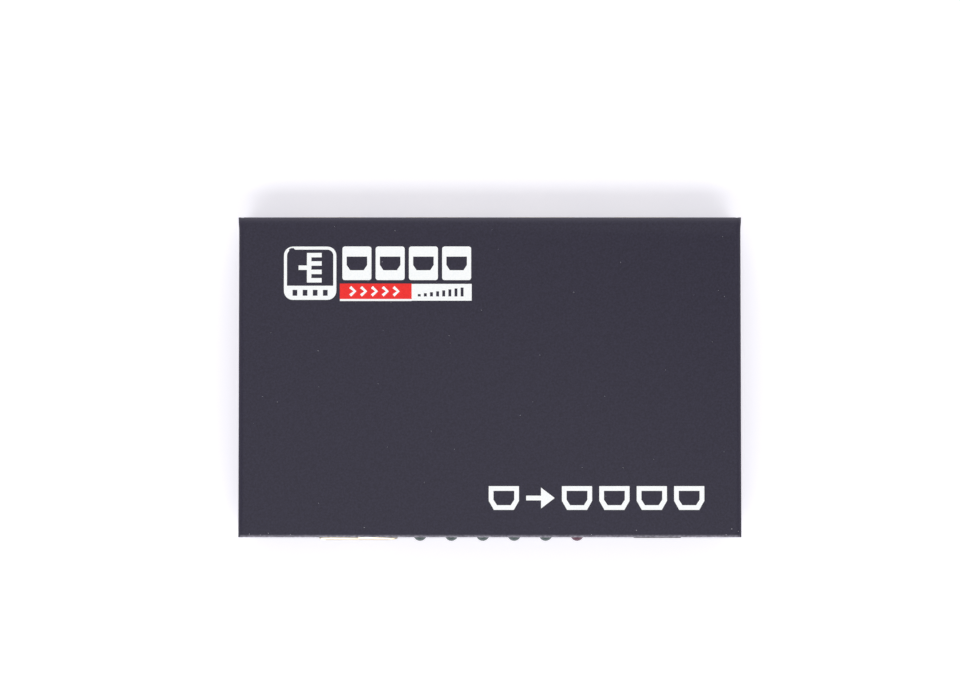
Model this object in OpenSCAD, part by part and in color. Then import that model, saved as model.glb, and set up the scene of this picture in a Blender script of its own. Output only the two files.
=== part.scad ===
/* [Case] */
// Width of the case, left to right
case_w = 107; // [104:1:130]
// Depth of the case, from the cover's front edge to its rear wall
case_d = 68; // [66:1:90]
// Height of the case without its feet
case_h = 20; // [19.5:0.5:30]
// Thickness of the sheet steel
sheet_t = 0.8; // [0.6:0.1:1.0]
// Inside radius of every bend in the sheet
bend_r = 0.5; // [0.3:0.1:0.8]
// How far the front panel sits behind the cover's front edge
panel_recess = 0.3; // [0:0.1:0.6]
// Sliding clearance between the cover and the base
slip = 0.15; // [0.1:0.05:0.25]
// Gap of the open seam between two bent walls
seam = 0.15; // [0.1:0.05:0.3]
// How far the base's side flanges rise above the circuit board
flange_rise = 7.4; // [7:0.1:9]
// Depth of the lip folded back along the front panel's top
return_l = 5; // [3:0.5:8]

/* [Feet] */
// Diameter of a rubber foot
foot_d = 8; // [6:0.5:10]
// Height of a rubber foot
foot_h = 2; // [1:0.25:4]
// Distance from the case's side to a foot's centre
foot_inset_x = 16; // [14:0.5:20]
// Distance from the case's front or rear to a foot's centre
foot_inset_y = 11; // [9:0.5:14]

/* [Screws] */
// Diameter of the screw threads
thread_d = 3; // [2.5:0.1:3]
// Length of a case screw, over its flat head
case_screw_l = 5; // [4:0.5:5]
// Length of the pressed boss that a case screw goes into
boss_l = 1.4; // [1:0.1:1.6]
// Distance from the front edge to the front case screw
screw_front = 14; // [10:0.5:18]
// Distance from the rear wall to the rear case screw
screw_rear = 14; // [10:0.5:18]
// Length of a board screw below its head
board_screw_l = 4.5; // [3:0.5:5]
// Head diameter of a board screw
board_head_d = 5.2; // [4.5:0.1:5.5]
// Head height of a board screw
board_head_h = 1.9; // [1.5:0.1:2.4]

/* [Circuit board] */
// Thickness of the circuit board
board_t = 1.6; // [1:0.1:1.6]
// Height of the standoffs that carry the board
standoff_h = 3.5; // [3.2:0.1:4]
// Diameter of a standoff
standoff_d = 5; // [4.6:0.1:5.6]
// Diameter of the standoff's end where it is pressed through the floor
shank_d = 4.1; // [3.8:0.1:4.3]
// Gap between the board's edges and the walls around it
board_gap = 0.6; // [0.4:0.1:1]
// Distance from a board corner's edges to its screw hole
board_hole_inset = 4.4; // [4:0.1:5]

/* [Sockets] */
// Width of a socket's opening
socket_w = 14; // [13.8:0.1:14.2]
// Height of a socket's opening
socket_h = 4.55; // [4.5:0.05:4.7]
// Width of the opening's floor, between its sloping corners
socket_low_w = 10.7; // [10.4:0.1:11]
// Height of the opening's upright sides
socket_side_h = 2.9; // [2.7:0.1:3.1]
// Thickness of the socket's metal shell
shell_t = 0.3; // [0.2:0.05:0.35]
// Length of the shell, from its mouth to its back
shell_l = 11; // [10.5:0.25:12]
// Length of the flared lips at the mouth
lip_l = 0.9; // [0.8:0.05:1]
// How far the lips flare outwards
lip_rise = 1.4; // [0.8:0.1:1.4]
// Width of the open seam along the shell's top
shell_seam = 0.12; // [0.08:0.02:0.2]
// Width of a spring finger
finger_w = 1.7; // [1.4:0.1:1.9]
// Length of a spring finger
finger_l = 4.6; // [4:0.1:5]
// How far a spring finger dips into the opening
finger_dip = 0.3; // [0.15:0.05:0.35]
// Spacing of the two fingers on one wall
finger_pitch = 6.4; // [5.6:0.2:7]
// Width of a leg that holds the shell to the board
leg_w = 1.5; // [1.2:0.1:1.8]
// How far a leg reaches through the board
leg_below = 0.7; // [0.4:0.1:1]
// Distance from the mouth to the front legs
leg_front = 4.6; // [4:0.1:5]
// Distance between the front and the rear legs
leg_pitch = 4.4; // [4:0.1:5]
// Width of the tongue inside a socket
tongue_w = 11.4; // [10.8:0.1:12]
// Thickness of the tongue
tongue_t = 1.1; // [0.9:0.05:1.3]
// Height of the tongue's middle above the opening's floor
tongue_h = 2.45; // [2.3:0.05:2.5]
// How far the tongue's tip lies behind the mouth
tongue_recess = 1.9; // [1.5:0.1:2.5]
// Length of the moulded block at the back of the opening
block_l = 2.9; // [2.4:0.1:3.1]
// Thickness of a contact
contact_t = 0.12; // [0.1:0.02:0.16]
// Width of a contact
contact_w = 0.3; // [0.2:0.05:0.35]
// How far the input socket stands out of the front panel
input_standout = 1.2; // [1.1:0.1:1.6]
// How far the output sockets stand out of the rear wall
output_standout = 0.7; // [0.5:0.1:1.4]
// Distance from the case's left side to the input socket's centre line
input_side = 25.25; // [22.25:0.25:25.5]
// Distance from the case's sides to the outer output sockets' centre lines
output_side = 19.75; // [19:0.25:24]

/* [Lights] */
// Diameter of a light's lens
led_d = 3; // [2.5:0.1:3.2]
// Length of a lens, from its rim's back to its tip
led_l = 5.3; // [5:0.1:6]
// Distance from the case's left side to the first light
led_first = 38.5; // [38:0.25:42]
// Distance from the case's right side to the last light
led_last = 34.7; // [30:0.25:40]
// Height of the lights' axes above the board
led_axis_h = 3.2; // [2.8:0.1:4.5]
// How far the lights stand out of the front panel
led_standout = 1.4; // [1:0.1:2]

/* [Power jack] */
// Distance from the case's right side to the power jack's centre line
jack_side = 17.8; // [15.5:0.1:19.5]
// Width of the power jack
jack_w = 10; // [9.4:0.1:10.4]
// Height of the power jack above the board
jack_h = 11; // [10.8:0.1:11.2]
// Length of the power jack
jack_l = 14; // [13:0.25:15]
// Diameter of the hole that takes the plug
jack_bore_d = 6.3; // [5.8:0.1:6.6]
// Depth of the hole that takes the plug
jack_bore_l = 9.5; // [9:0.1:10]
// Height of the hole's axis above the board
jack_axis_h = 6.5; // [6.2:0.1:6.6]
// Diameter of the jack's centre pin
jack_pin_d = 2; // [1.6:0.1:2.5]
// How far the jack stands out of the front panel
jack_standout = 0.7; // [0.2:0.1:1]

/* [Board parts] */
// Side of the splitter chip's square body
chip_w = 14; // [12:0.5:15]
// Thickness of the splitter chip's body
chip_t = 1.4; // [1:0.1:1.6]
// Number of leads along one side of the splitter chip
chip_leads = 16; // [12:1:16]
// Spacing of the splitter chip's leads
chip_pitch = 0.8; // [0.65:0.05:0.8]
// Diameter of the bulk capacitors
capacitor_d = 6.3; // [5:0.1:6.6]
// Height of the bulk capacitors
capacitor_h = 7.7; // [5.5:0.1:8.5]
// Side of the power coil
coil_w = 6; // [5:0.25:6.5]
// Height of the power coil
coil_h = 3; // [2.5:0.1:4]

/* [Hidden] */
$fn = 48;
eps = 0.01;
over = 1; // how far a cutting shape runs past the faces it cuts

// Colours
powder_grey = [0.25, 0.24, 0.29];
gold = [0.90, 0.82, 0.60];
board_green = [0.07, 0.30, 0.17];
moulded_black = [0.06, 0.06, 0.07];
bright_metal = [0.78, 0.78, 0.80];
rubber_black = [0.10, 0.10, 0.10];
lens_green = [0.22, 0.40, 0.34];
lens_red = [0.42, 0.14, 0.24];
ceramic_tan = [0.62, 0.50, 0.38];
ferrite_grey = [0.25, 0.25, 0.26];

// Levels, from the surface that the feet stand on
bend_out = bend_r + sheet_t;
bend_steps = 8;
case_bottom = foot_h;
case_top = case_bottom + case_h;
floor_top = case_bottom + sheet_t;
board_bottom = floor_top + standoff_h;
board_top = board_bottom + board_t;
flange_top = board_top + flange_rise;

// The case's faces
cover_front = -case_d / 2;
cover_rear = case_d / 2;
panel_front = cover_front + panel_recess;
panel_back = panel_front + sheet_t;
rear_wall_inner = cover_rear - sheet_t;
base_half_w = case_w / 2 - sheet_t - slip;
base_rear = rear_wall_inner - slip;
base_top = case_top - sheet_t - slip;
floor_half_w = base_half_w - bend_out;
fold_flat = 0.6; // flat floor between the front bend and the side flanges' notches
relief_w = 1.2; // width of the notch in front of each side flange
fold_y = panel_back + bend_r + fold_flat;
flange_front = fold_y + relief_w;
cut_r = 0.8; // corner radius of the openings

// The circuit board's edges and holes
board_half_w = base_half_w - sheet_t - board_gap;
board_front = panel_back + board_gap;
board_rear = rear_wall_inner - board_gap;
board_corner_r = 1;
board_hole_x = board_half_w - board_hole_inset;
board_hole_ys = [board_front + board_hole_inset, board_rear - board_hole_inset];

// Clearances
thread_clear = 0.02;
seat_clear = 0.03;
hole_clear = 0.2;
slot_clear = 0.25;
cut_clear = 0.25; // around a socket, a lens or the jack where it passes through a wall
fit = 0.02; // between a moulding and the metal in it

// Case screws: the flat head's cone is as deep as the sheet it sinks into
case_head_d = thread_d + 2 * sheet_t;
boss_wall = 1;
boss_d = thread_d + 2 * boss_wall;
boss_margin = 0.6; // flange left above a boss
screw_z = flange_top - boss_d / 2 - boss_margin;
screw_ys = [cover_front + screw_front, cover_rear - screw_rear];
case_recess = [2.2, 0.7]; // width and depth of the cross recess
board_recess = [2.8, 1];
head_rim_h = 0.7; // upright rim of a board screw's head
corner_relief_d = 1;

// Sockets: x across, y from the mouth inwards, z up from the board
socket_edge_r = 0.35;
socket_top = shell_t + socket_h;
slope_top = socket_top - socket_side_h;
output_count = 4;
input_mouth = panel_front - input_standout;
output_mouth = cover_rear + output_standout;
output_pitch = (case_w - 2 * output_side) / (output_count - 1);
output_xs = [for (i = [0:output_count - 1]) output_side - case_w / 2 + output_pitch * i];
input_x = input_side - case_w / 2;
lip_root = 0.3; // how far a lip or finger runs into its wall
lip_slant = 0.15; // how far a lip still leans forward as it flares
lip_gap = 0.15;
lip_bend = 0.1;
finger_bend = 0.3;
finger_gap = 0.25;
finger_tip = 1.1; // from the finger's free end to its lowest point
finger_margin = 0.5; // wall between a finger's window and the moulded block
block_front = shell_l - block_l;
finger_end = block_front - finger_margin;
finger_start = finger_end - finger_l;
side_finger_w = 1.2;
leg_ys = [leg_front, leg_front + leg_pitch];
back_gap = 0.1;
block_back = shell_l + back_gap;
contact_pitch = 1;
contact_top_count = 10;
contact_proud = 0.03;
contact_bend = 0.12;
contact_foot = 0.9;
tongue_z = shell_t + tongue_h;
contact_front = tongue_recess + 0.5;
tail_y = block_back + back_gap;

// Lights
led_count = 6;
led_rim = 0.4;
led_rim_d = led_d + 2 * led_rim;
led_rim_l = 1;
led_lead = 0.5;
led_hole_d = 1;
led_lead_pitch = 2.54;
led_lead_out = 1.2;
led_lead_below = 0.8;
led_tip = panel_front - led_standout;
led_back = led_tip + led_l;
led_z = board_top + led_axis_h;
led_pitch = (case_w - led_first - led_last) / (led_count - 1);
led_xs = [for (i = [0:led_count - 1]) led_first - case_w / 2 + led_pitch * i];

// Power jack: x across, y from its face inwards, z up from the board
jack_x = case_w / 2 - jack_side;
jack_face = panel_front - jack_standout;
jack_block_l = 3.4;
jack_wall = 1;
jack_corner_r = 0.8;
jack_barrel_r = jack_bore_d / 2 + jack_wall;
jack_floor = jack_axis_h - jack_bore_d / 2;
jack_pin_recess = 0.8;
jack_pin_gap = 0.3;
jack_root_inset = 0.2;
jack_root_d = jack_pin_d - 2 * jack_root_inset;
terminal_t = 0.6;
terminal_w = 2.2;
terminal_below = 1.2;
spring_t = 0.3;
spring_w = 2.4;
spring_y = 7.2;
spring_reach = 3.3;
spring_crest = 2;
spring_rise = 0.55;
spring_sink = 0.5;
spring_clear = 0.15;
switch_y = 6;

// Board parts
lead_t = 0.15;
lead_r = 0.1;
lead_flat = 0.45; // flat top of a chip's lead
lead_foot = 0.4; // flat foot of a chip's lead
chip_y = 2;
chip_lift = 0.1;
chip_lead_w = 0.35;
chip_lead_out = 1;
body_draft = 0.12;
chip_edge = chip_w / 2 + chip_lead_out;
memory_size = [4.9, 3.9, 1.4];
memory_at = [-21, 12];
memory_leads = 4;
memory_pitch = 1.27;
memory_lead_w = 0.4;
crystal_size = [11.2, 4.6];
crystal_at = [-21, 1];
regulator_size = [6.5, 3.5, 1.6];
regulator_at = [22, -3];
regulator_pitch = 11;
regulator_leads = 3;
regulator_lead_pitch = 2.3;
regulator_lead_w = 0.7;
regulator_tab_w = 3;
coil_offset = [-2, 10]; // from the back of the power jack
coil_at = [jack_x, jack_face + jack_l] + coil_offset;
coil_edge = 0.9;
capacitor_base = capacitor_d + 0.3;
capacitor_base_edge = 0.8;
capacitor_inset = 7.65; // from the board's right edge to the capacitors' middle
capacitor_y = -8;
capacitor_pitch = 8.5;
ceramic_size = [1.6, 0.8, 0.8];
ceramic_cap_l = 0.35;
resistor_size = [1.6, 0.8, 0.45];
surge_size = [2.5, 1.2, 0.55];
passive_count = 7;
passive_pitch = 2.6;
surge_gap = 3;
surge_y = shell_l + surge_gap; // the parts behind a socket, from its mouth

// Helpers

function unit(v) = v / norm(v);

function turned(v, angle) = [v.x * cos(angle) - v.y * sin(angle), v.x * sin(angle) + v.y * cos(angle)];

function left_of(v) = [-v.y, v.x];

function reversed(list) = [for (i = [len(list) - 1:-1:0]) list[i]];

// The arc that rounds the corner at b between a and c
function corner_arc(a, b, c, r, steps) =
    let (
        u = unit(a - b),
        v = unit(c - b),
        half = acos(u * v) / 2,
        reach = r / tan(half),
        centre = b + unit(u + v) * r / sin(half),
        first = b + u * reach - centre,
        turn = sign(cross(first, b + v * reach - centre)) * (180 - 2 * half)
    )
    [for (i = [0:steps]) centre + turned(first, turn * i / steps)];

// A closed outline with every corner rounded to radius r
function rounded(points, r, steps = 4) =
    let (count = len(points))
    [for (i = [0:count - 1])
        each corner_arc(points[(i + count - 1) % count], points[i], points[(i + 1) % count], r, steps)];

// The direction of a path's step i
function step_of(path, i) = unit(path[i + 1] - path[i]);

// An open path moved to its left by d, with its corners kept on their mitres
function moved(path, d) =
    let (last = len(path) - 1)
    [for (i = [0:last])
        let (
            a = left_of(step_of(path, max(i - 1, 0))),
            b = left_of(step_of(path, min(i, last - 1)))
        )
        path[i] + (a + b) * d / (1 + a * b)];

// A closed outline, listed anticlockwise, grown outwards by d
function grown(points, d) =
    let (
        count = len(points),
        ring = moved(concat([points[count - 1]], points, [points[0]]), -d)
    )
    [for (i = [1:count]) ring[i]];

// One face of a bent strip: the inside of each bend gets radius r, the outside r + t
function strip_face(path, shift, t, r, steps) =
    let (
        face = moved(path, -shift),
        last = len(path) - 1
    )
    [for (i = [0:last])
        let (
            inner = i > 0 && i < last
                && (cross(step_of(path, i - 1), step_of(path, i)) > 0) == (shift == 0)
        )
        each (i == 0 || i == last ? [face[i]]
            : corner_arc(face[i - 1], face[i], face[i + 1], inner ? r : r + t, steps))];

// A sheet of thickness t bent along a path that is its left face
module strip(path, t, r, steps = 4) {
    polygon(concat(strip_face(path, 0, t, r, steps), reversed(strip_face(path, t, t, r, steps))));
}

// A rectangle that is centred across and stands on y = 0
function standing(w, h) = [[-w / 2, 0], [w / 2, 0], [w / 2, h], [-w / 2, h]];

// Extrudes an outline drawn in x and z along y, from y = 0 to y = length
module along_y(length) {
    translate([0, length, 0]) rotate([90, 0, 0]) linear_extrude(length) children();
}

// Extrudes an outline drawn in y and z along x, centred on x = 0
module along_x(length) {
    translate([-length / 2, 0, 0]) rotate([90, 0, 90]) linear_extrude(length) children();
}

module both_sides() {
    for (side = [0, 1])
        mirror([side, 0, 0]) children();
}

module quarter(r) {
    intersection() {
        circle(r);
        square(r);
    }
}

// A standing rectangle with its upper corners bent to radius r
module bent_top(w, h, r) {
    translate([-w / 2, 0]) square([w, h - r]);
    translate([-w / 2 + r, h - r]) square([w - 2 * r, r]);
    both_sides() translate([w / 2 - r, h - r]) quarter(r);
}

// A rectangle from 0 to w with only its upper right corner bent
module bent_end(w, h, r) {
    square([w, h - r]);
    translate([0, h - r]) square([w - r, r]);
    translate([w - r, h - r]) quarter(r);
}

// A cross recess for a screwdriver, cut down into a face at z = 0
module cross_recess(size) {
    wing = size.x / 5;
    for (angle = [0, 90])
        rotate(angle) translate([-size.x / 2, -wing / 2, -size.y]) cube([size.x, wing, size.y + over]);
}

// A moulded body whose four sides widen to its middle height
module moulded_block(size) {
    intersection() {
        along_y(size.y) tapered_side(size.x, size.z);
        translate([0, size.y / 2, 0]) along_x(size.x) tapered_side(size.y, size.z);
    }
}

module tapered_side(w, h) {
    polygon([[-w / 2 + body_draft, 0], [w / 2 - body_draft, 0], [w / 2, h / 2], [w / 2 - body_draft, h],
        [-w / 2 + body_draft, h], [-w / 2, h / 2]]);
}

// A lead that leaves a body's side at height z, steps down and ends on the board
module gull_lead(z, width, from) {
    along_x(width)
        strip([[from, z], [lead_flat, z], [chip_lead_out - lead_foot, lead_t], [chip_lead_out, lead_t]],
            lead_t, lead_r, 1);
}

// Case

// The cover's outer block, or its inner one when inset by the sheet's thickness
module cover_block(inset, r) {
    run = case_d - inset + over;
    intersection() {
        translate([0, cover_front - over, 0]) along_y(run) bent_top(case_w - 2 * inset, case_h - inset, r);
        translate([0, cover_front - over, 0]) along_x(case_w) bent_end(run, case_h - inset, r);
    }
}

// The hole that the shell's lips pass through, drawn from the board's level
module socket_cut() {
    reach = shell_t + lip_rise + cut_clear;
    translate([0, shell_t - reach])
        polygon(rounded(standing(socket_w + 2 * reach, socket_h + 2 * reach), cut_r));
}

// A case screw's hole through the cover, along +x, its seat opening at x = 0
module screw_seat() {
    rotate([0, -90, 0]) {
        cylinder(h = over, d = case_head_d + 2 * seat_clear);
        mirror([0, 0, 1])
            cylinder(h = sheet_t + over, d1 = case_head_d + 2 * seat_clear,
                d2 = case_head_d + 2 * seat_clear - 2 * (sheet_t + over));
        mirror([0, 0, 1]) cylinder(h = sheet_t + over, d = thread_d + 2 * hole_clear);
    }
}

module top_cover() {
    color(powder_grey)
    difference() {
        translate([0, 0, case_bottom]) cover_block(0, bend_out);
        translate([0, 0, case_bottom - eps]) cover_block(sheet_t, bend_r);
        // the front edge, square across the top and both sides
        translate([-case_w, cover_front - case_d, case_bottom - over])
            cube([2 * case_w, case_d, case_h + 2 * over]);
        for (x = output_xs)
            translate([x, rear_wall_inner - over, board_top]) along_y(sheet_t + 2 * over) socket_cut();
        both_sides() {
            // the open corner between the side and rear walls, with its relief hole
            translate([case_w / 2 - sheet_t - seam, rear_wall_inner - over, case_bottom - over])
                cube([seam, sheet_t + 2 * over, case_h - bend_out + over]);
            translate([case_w / 2 - sheet_t - seam / 2, rear_wall_inner - over, case_top - bend_out])
                rotate([-90, 0, 0]) cylinder(h = sheet_t + 2 * over, d = corner_relief_d);
            for (y = screw_ys)
                translate([case_w / 2, y, screw_z]) mirror([1, 0, 0]) screw_seat();
        }
    }
}

module base_tray() {
    color(powder_grey)
    difference() {
        union() {
            // the front panel, bent up from the floor and folded back along its top
            intersection() {
                along_x(2 * base_half_w)
                    strip([[panel_front + return_l, base_top - sheet_t], [panel_back, base_top - sheet_t],
                        [panel_back, floor_top], [fold_y, floor_top]], sheet_t, bend_r, bend_steps);
                translate([0, panel_front - over, case_bottom])
                    along_y(return_l + 2 * over) bent_top(2 * base_half_w, base_top - case_bottom, bend_r);
            }
            translate([-floor_half_w, fold_y - over / 2, case_bottom])
                cube([2 * floor_half_w, base_rear - fold_y + over / 2, sheet_t]);
            both_sides() {
                translate([0, flange_front, 0]) along_y(base_rear - flange_front)
                    strip([[floor_half_w - over, floor_top], [base_half_w - sheet_t, floor_top],
                        [base_half_w - sheet_t, flange_top]], sheet_t, bend_r, bend_steps);
                for (y = screw_ys)
                    translate([base_half_w - sheet_t - boss_l, y, screw_z])
                        rotate([0, 90, 0]) cylinder(h = boss_l + sheet_t / 2, d = boss_d);
            }
        }
        translate([input_x, panel_front - over, board_top]) along_y(sheet_t + 2 * over) socket_cut();
        for (x = led_xs)
            translate([x, panel_front - over, led_z])
                rotate([-90, 0, 0]) cylinder(h = sheet_t + 2 * over, d = led_d + 2 * cut_clear);
        translate([jack_x, panel_front - over, board_top - cut_clear])
            along_y(sheet_t + 2 * over)
                polygon(rounded(standing(jack_w + 2 * cut_clear, jack_h + 2 * cut_clear), cut_r));
        both_sides()
            for (y = screw_ys)
                translate([base_half_w - sheet_t - boss_l - over, y, screw_z])
                    rotate([0, 90, 0])
                        cylinder(h = boss_l + sheet_t + 2 * over, d = thread_d + 2 * thread_clear);
        board_corners(case_bottom - over) cylinder(h = sheet_t + 2 * over, d = shank_d + 2 * thread_clear);
    }
}

module board_corners(z) {
    for (x = [-board_hole_x, board_hole_x], y = board_hole_ys)
        translate([x, y, z]) children();
}

module board_standoffs() {
    color(bright_metal)
    board_corners(case_bottom)
        difference() {
            union() {
                cylinder(h = sheet_t + standoff_h, d = shank_d);
                translate([0, 0, sheet_t]) cylinder(h = standoff_h, d = standoff_d);
            }
            translate([0, 0, -over])
                cylinder(h = sheet_t + standoff_h + 2 * over, d = thread_d + 2 * thread_clear);
        }
}

module rubber_feet() {
    taper = 0.3;
    foot_edge_r = 0.4;
    r = foot_d / 2;
    color(rubber_black)
    for (x = [-1, 1], y = [-1, 1])
        translate([x * (case_w / 2 - foot_inset_x), y * (case_d / 2 - foot_inset_y), 0])
            rotate_extrude()
                polygon(concat([[0, 0]], corner_arc([0, 0], [r - taper, 0], [r, foot_h], foot_edge_r, 4),
                    [[r, foot_h], [0, foot_h]]));
}

module case_screws() {
    color(bright_metal)
    both_sides()
        for (y = screw_ys)
            translate([case_w / 2, y, screw_z]) rotate([0, 90, 0])
                difference() {
                    translate([0, 0, -case_screw_l])
                        rotate_extrude()
                            polygon([[0, 0], [thread_d / 2, 0], [thread_d / 2, case_screw_l - sheet_t],
                                [case_head_d / 2, case_screw_l], [0, case_screw_l]]);
                    cross_recess(case_recess);
                }
}

module board_screws() {
    head_r = board_head_d / 2;
    drop = board_head_h - head_rim_h;
    dome_r = (head_r * head_r + drop * drop) / (2 * drop);
    color(bright_metal)
    board_corners(board_top)
        difference() {
            union() {
                translate([0, 0, -board_screw_l]) cylinder(h = board_screw_l + head_rim_h, d = thread_d);
                rotate_extrude()
                    intersection() {
                        square([head_r, board_head_h]);
                        translate([0, board_head_h - dome_r]) circle(dome_r, $fn = 96);
                    }
            }
            translate([0, 0, board_head_h]) cross_recess(board_recess);
        }
}

// The board, with a hole or slot for everything that passes through it
module circuit_board() {
    color(board_green)
    translate([0, 0, board_bottom])
    difference() {
        linear_extrude(board_t)
            translate([0, board_front])
                polygon(rounded(standing(2 * board_half_w, board_rear - board_front), board_corner_r));
        translate([0, 0, -over]) linear_extrude(board_t + 2 * over) {
            for (x = [-board_hole_x, board_hole_x], y = board_hole_ys)
                translate([x, y]) circle(d = thread_d + 2 * hole_clear);
            at_sockets() leg_slots();
            for (x = led_xs, side = [-1, 1])
                translate([x + side * led_lead_pitch / 2, led_back + led_lead_out - led_lead / 2])
                    circle(d = led_hole_d);
            translate([jack_x, jack_face]) {
                board_slot([0, jack_l + terminal_t / 2], [terminal_w, terminal_t]);
                board_slot([0, spring_y + spring_t / 2], [spring_w, spring_t]);
                board_slot([jack_barrel_r + terminal_t / 2, switch_y], [terminal_t, terminal_w]);
            }
        }
    }
}

module board_slot(at, size) {
    translate([at.x - size.x / 2 - slot_clear, at.y - size.y / 2 - slot_clear])
        square([size.x + 2 * slot_clear, size.y + 2 * slot_clear]);
}

module leg_slots() {
    for (side = [-1, 1], y = leg_ys)
        board_slot([side * (socket_w + shell_t) / 2, y], [shell_t, leg_w]);
}

// Sockets

module at_input() {
    translate([input_x, input_mouth]) children();
}

module at_output(i) {
    translate([output_xs[i], output_mouth]) rotate(180) children();
}

module at_sockets() {
    at_input() children();
    for (i = [0:output_count - 1])
        at_output(i) children();
}

// The opening's outline, listed anticlockwise
function socket_points() = [
    [-socket_low_w / 2, shell_t], [socket_low_w / 2, shell_t], [socket_w / 2, slope_top],
    [socket_w / 2, socket_top], [-socket_w / 2, socket_top], [-socket_w / 2, slope_top],
];

// Each wall of the shell in turn, laid so that its inner face is z = 0 and outwards is +z
module on_top() {
    translate([0, 0, socket_top]) children();
}

module on_bottom() {
    translate([0, 0, shell_t]) mirror([0, 0, 1]) children();
}

module on_sides() {
    both_sides() translate([socket_w / 2, 0, socket_top - socket_side_h / 2]) rotate([0, 90, 0]) children();
}

// A lip that flares outwards, from the width of its wall down to its tip's width
module flared_lip(half, tip_half) {
    reach = shell_t + lip_rise;
    intersection() {
        along_x(2 * half)
            strip([[lip_l + lip_root, 0], [lip_slant, 0], [0, lip_rise]], shell_t, lip_bend);
        translate([0, -over, 0]) along_y(lip_l + lip_root + 2 * over)
            polygon([[-half, 0], [half, 0], [half, shell_t], [tip_half, reach], [-tip_half, reach],
                [-half, shell_t]]);
    }
}

module finger_window(x, w) {
    translate([x - w / 2 - finger_gap, finger_start, -over])
        cube([w + 2 * finger_gap, finger_l, shell_t + 2 * over]);
}

// A spring finger, rooted behind its window, that dips into the opening and turns up at its tip
module spring_finger(x, w) {
    translate([x, 0, 0]) along_x(w)
        strip([[finger_end + lip_root, 0], [finger_end - lip_root, 0],
            [finger_start + finger_tip, -finger_dip], [finger_start + finger_gap, 0]],
            shell_t, finger_bend, 2);
}

// The seam down the shell's top, with a dovetail that locks its two edges
module seam_cut() {
    neck = [3.4, 4.6];
    depth = 0.9;
    flare = 0.35;
    path = [[0, -over], [0, neck[0]], [depth, neck[0] - flare], [depth, neck[1] + flare], [0, neck[1]],
        [0, shell_l + over]];
    translate([0, 0, socket_top - over / 2])
        linear_extrude(over + lip_rise + shell_t)
            polygon(concat(moved(path, shell_seam / 2), reversed(moved(path, -shell_seam / 2))));
}

module shell_leg(y) {
    tip = 0.4;
    low = -board_t - leg_below;
    translate([(socket_w + shell_t) / 2, y, 0])
        along_x(shell_t)
            polygon([[-leg_w / 2, slope_top + over], [-leg_w / 2, low + tip], [-leg_w / 2 + tip, low],
                [leg_w / 2 - tip, low], [leg_w / 2, low + tip], [leg_w / 2, slope_top + over]]);
}

module socket_shell() {
    finger_xs = [-finger_pitch / 2, finger_pitch / 2];
    top_half = socket_w / 2 - socket_edge_r;
    low_half = socket_low_w / 2 - socket_edge_r;
    side_half = socket_side_h / 2 - lip_gap;
    color(gold)
    difference() {
        union() {
            difference() {
                translate([0, lip_l, 0]) along_y(shell_l - lip_l)
                    difference() {
                        polygon(rounded(grown(socket_points(), shell_t), socket_edge_r + shell_t));
                        polygon(rounded(socket_points(), socket_edge_r));
                    }
                for (x = finger_xs) {
                    on_top() finger_window(x, finger_w);
                    on_bottom() finger_window(x, finger_w);
                }
                on_sides() finger_window(0, side_finger_w);
            }
            for (x = finger_xs) {
                on_top() spring_finger(x, finger_w);
                on_bottom() spring_finger(x, finger_w);
            }
            on_sides() spring_finger(0, side_finger_w);
            on_top() flared_lip(top_half, top_half - lip_rise);
            on_bottom() flared_lip(low_half, low_half - lip_rise / 2);
            on_sides() flared_lip(side_half, side_half - lip_rise / 4);
            both_sides()
                for (y = leg_ys)
                    shell_leg(y);
        }
        seam_cut();
    }
}

// The height of a contact's upper face, on the tongue's top or under it
function contact_z(top) =
    tongue_z + (top ? tongue_t / 2 + contact_proud : contact_t - tongue_t / 2 - contact_proud);

function contact_xs(top) =
    let (count = top ? contact_top_count : contact_top_count - 1)
    [for (i = [0:count - 1]) contact_pitch * (i - (count - 1) / 2)];

module socket_insulator() {
    tip = 0.25;
    tongue_low = tongue_z - tongue_t / 2;
    tongue_high = tongue_z + tongue_t / 2;
    color(moulded_black)
    difference() {
        union() {
            translate([0, block_front, 0]) along_y(block_back - block_front)
                polygon(rounded(grown(socket_points(), -fit), socket_edge_r));
            along_x(tongue_w)
                polygon([[tongue_recess, tongue_low + tip], [tongue_recess + tip, tongue_low],
                    [block_front + over, tongue_low], [block_front + over, tongue_high],
                    [tongue_recess + tip, tongue_high], [tongue_recess, tongue_high - tip]]);
        }
        for (top = [false, true], x = contact_xs(top))
            translate([x - contact_w / 2 - fit, contact_front - fit, contact_z(top) - contact_t - fit])
                cube([contact_w + 2 * fit, block_back - contact_front + over, contact_t + 2 * fit]);
    }
}

module socket_contacts() {
    color(gold)
    for (top = [false, true], x = contact_xs(top))
        translate([x, 0, 0]) along_x(contact_w)
            strip([[contact_front, contact_z(top)], [tail_y + contact_t, contact_z(top)],
                [tail_y + contact_t, contact_t], [tail_y + contact_t + contact_foot, contact_t]],
                contact_t, contact_bend, 1);
}

module input_at_board() {
    translate([0, 0, board_top]) at_input() children();
}

module output_at_board(i) {
    translate([0, 0, board_top]) at_output(i) children();
}

// Power jack

module at_jack() {
    translate([jack_x, jack_face, board_top]) children();
}

// A shape turned about z made to run along +y on the jack's axis
module on_jack_axis(y) {
    translate([0, y, jack_axis_h]) rotate([-90, 0, 0]) children();
}

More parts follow.
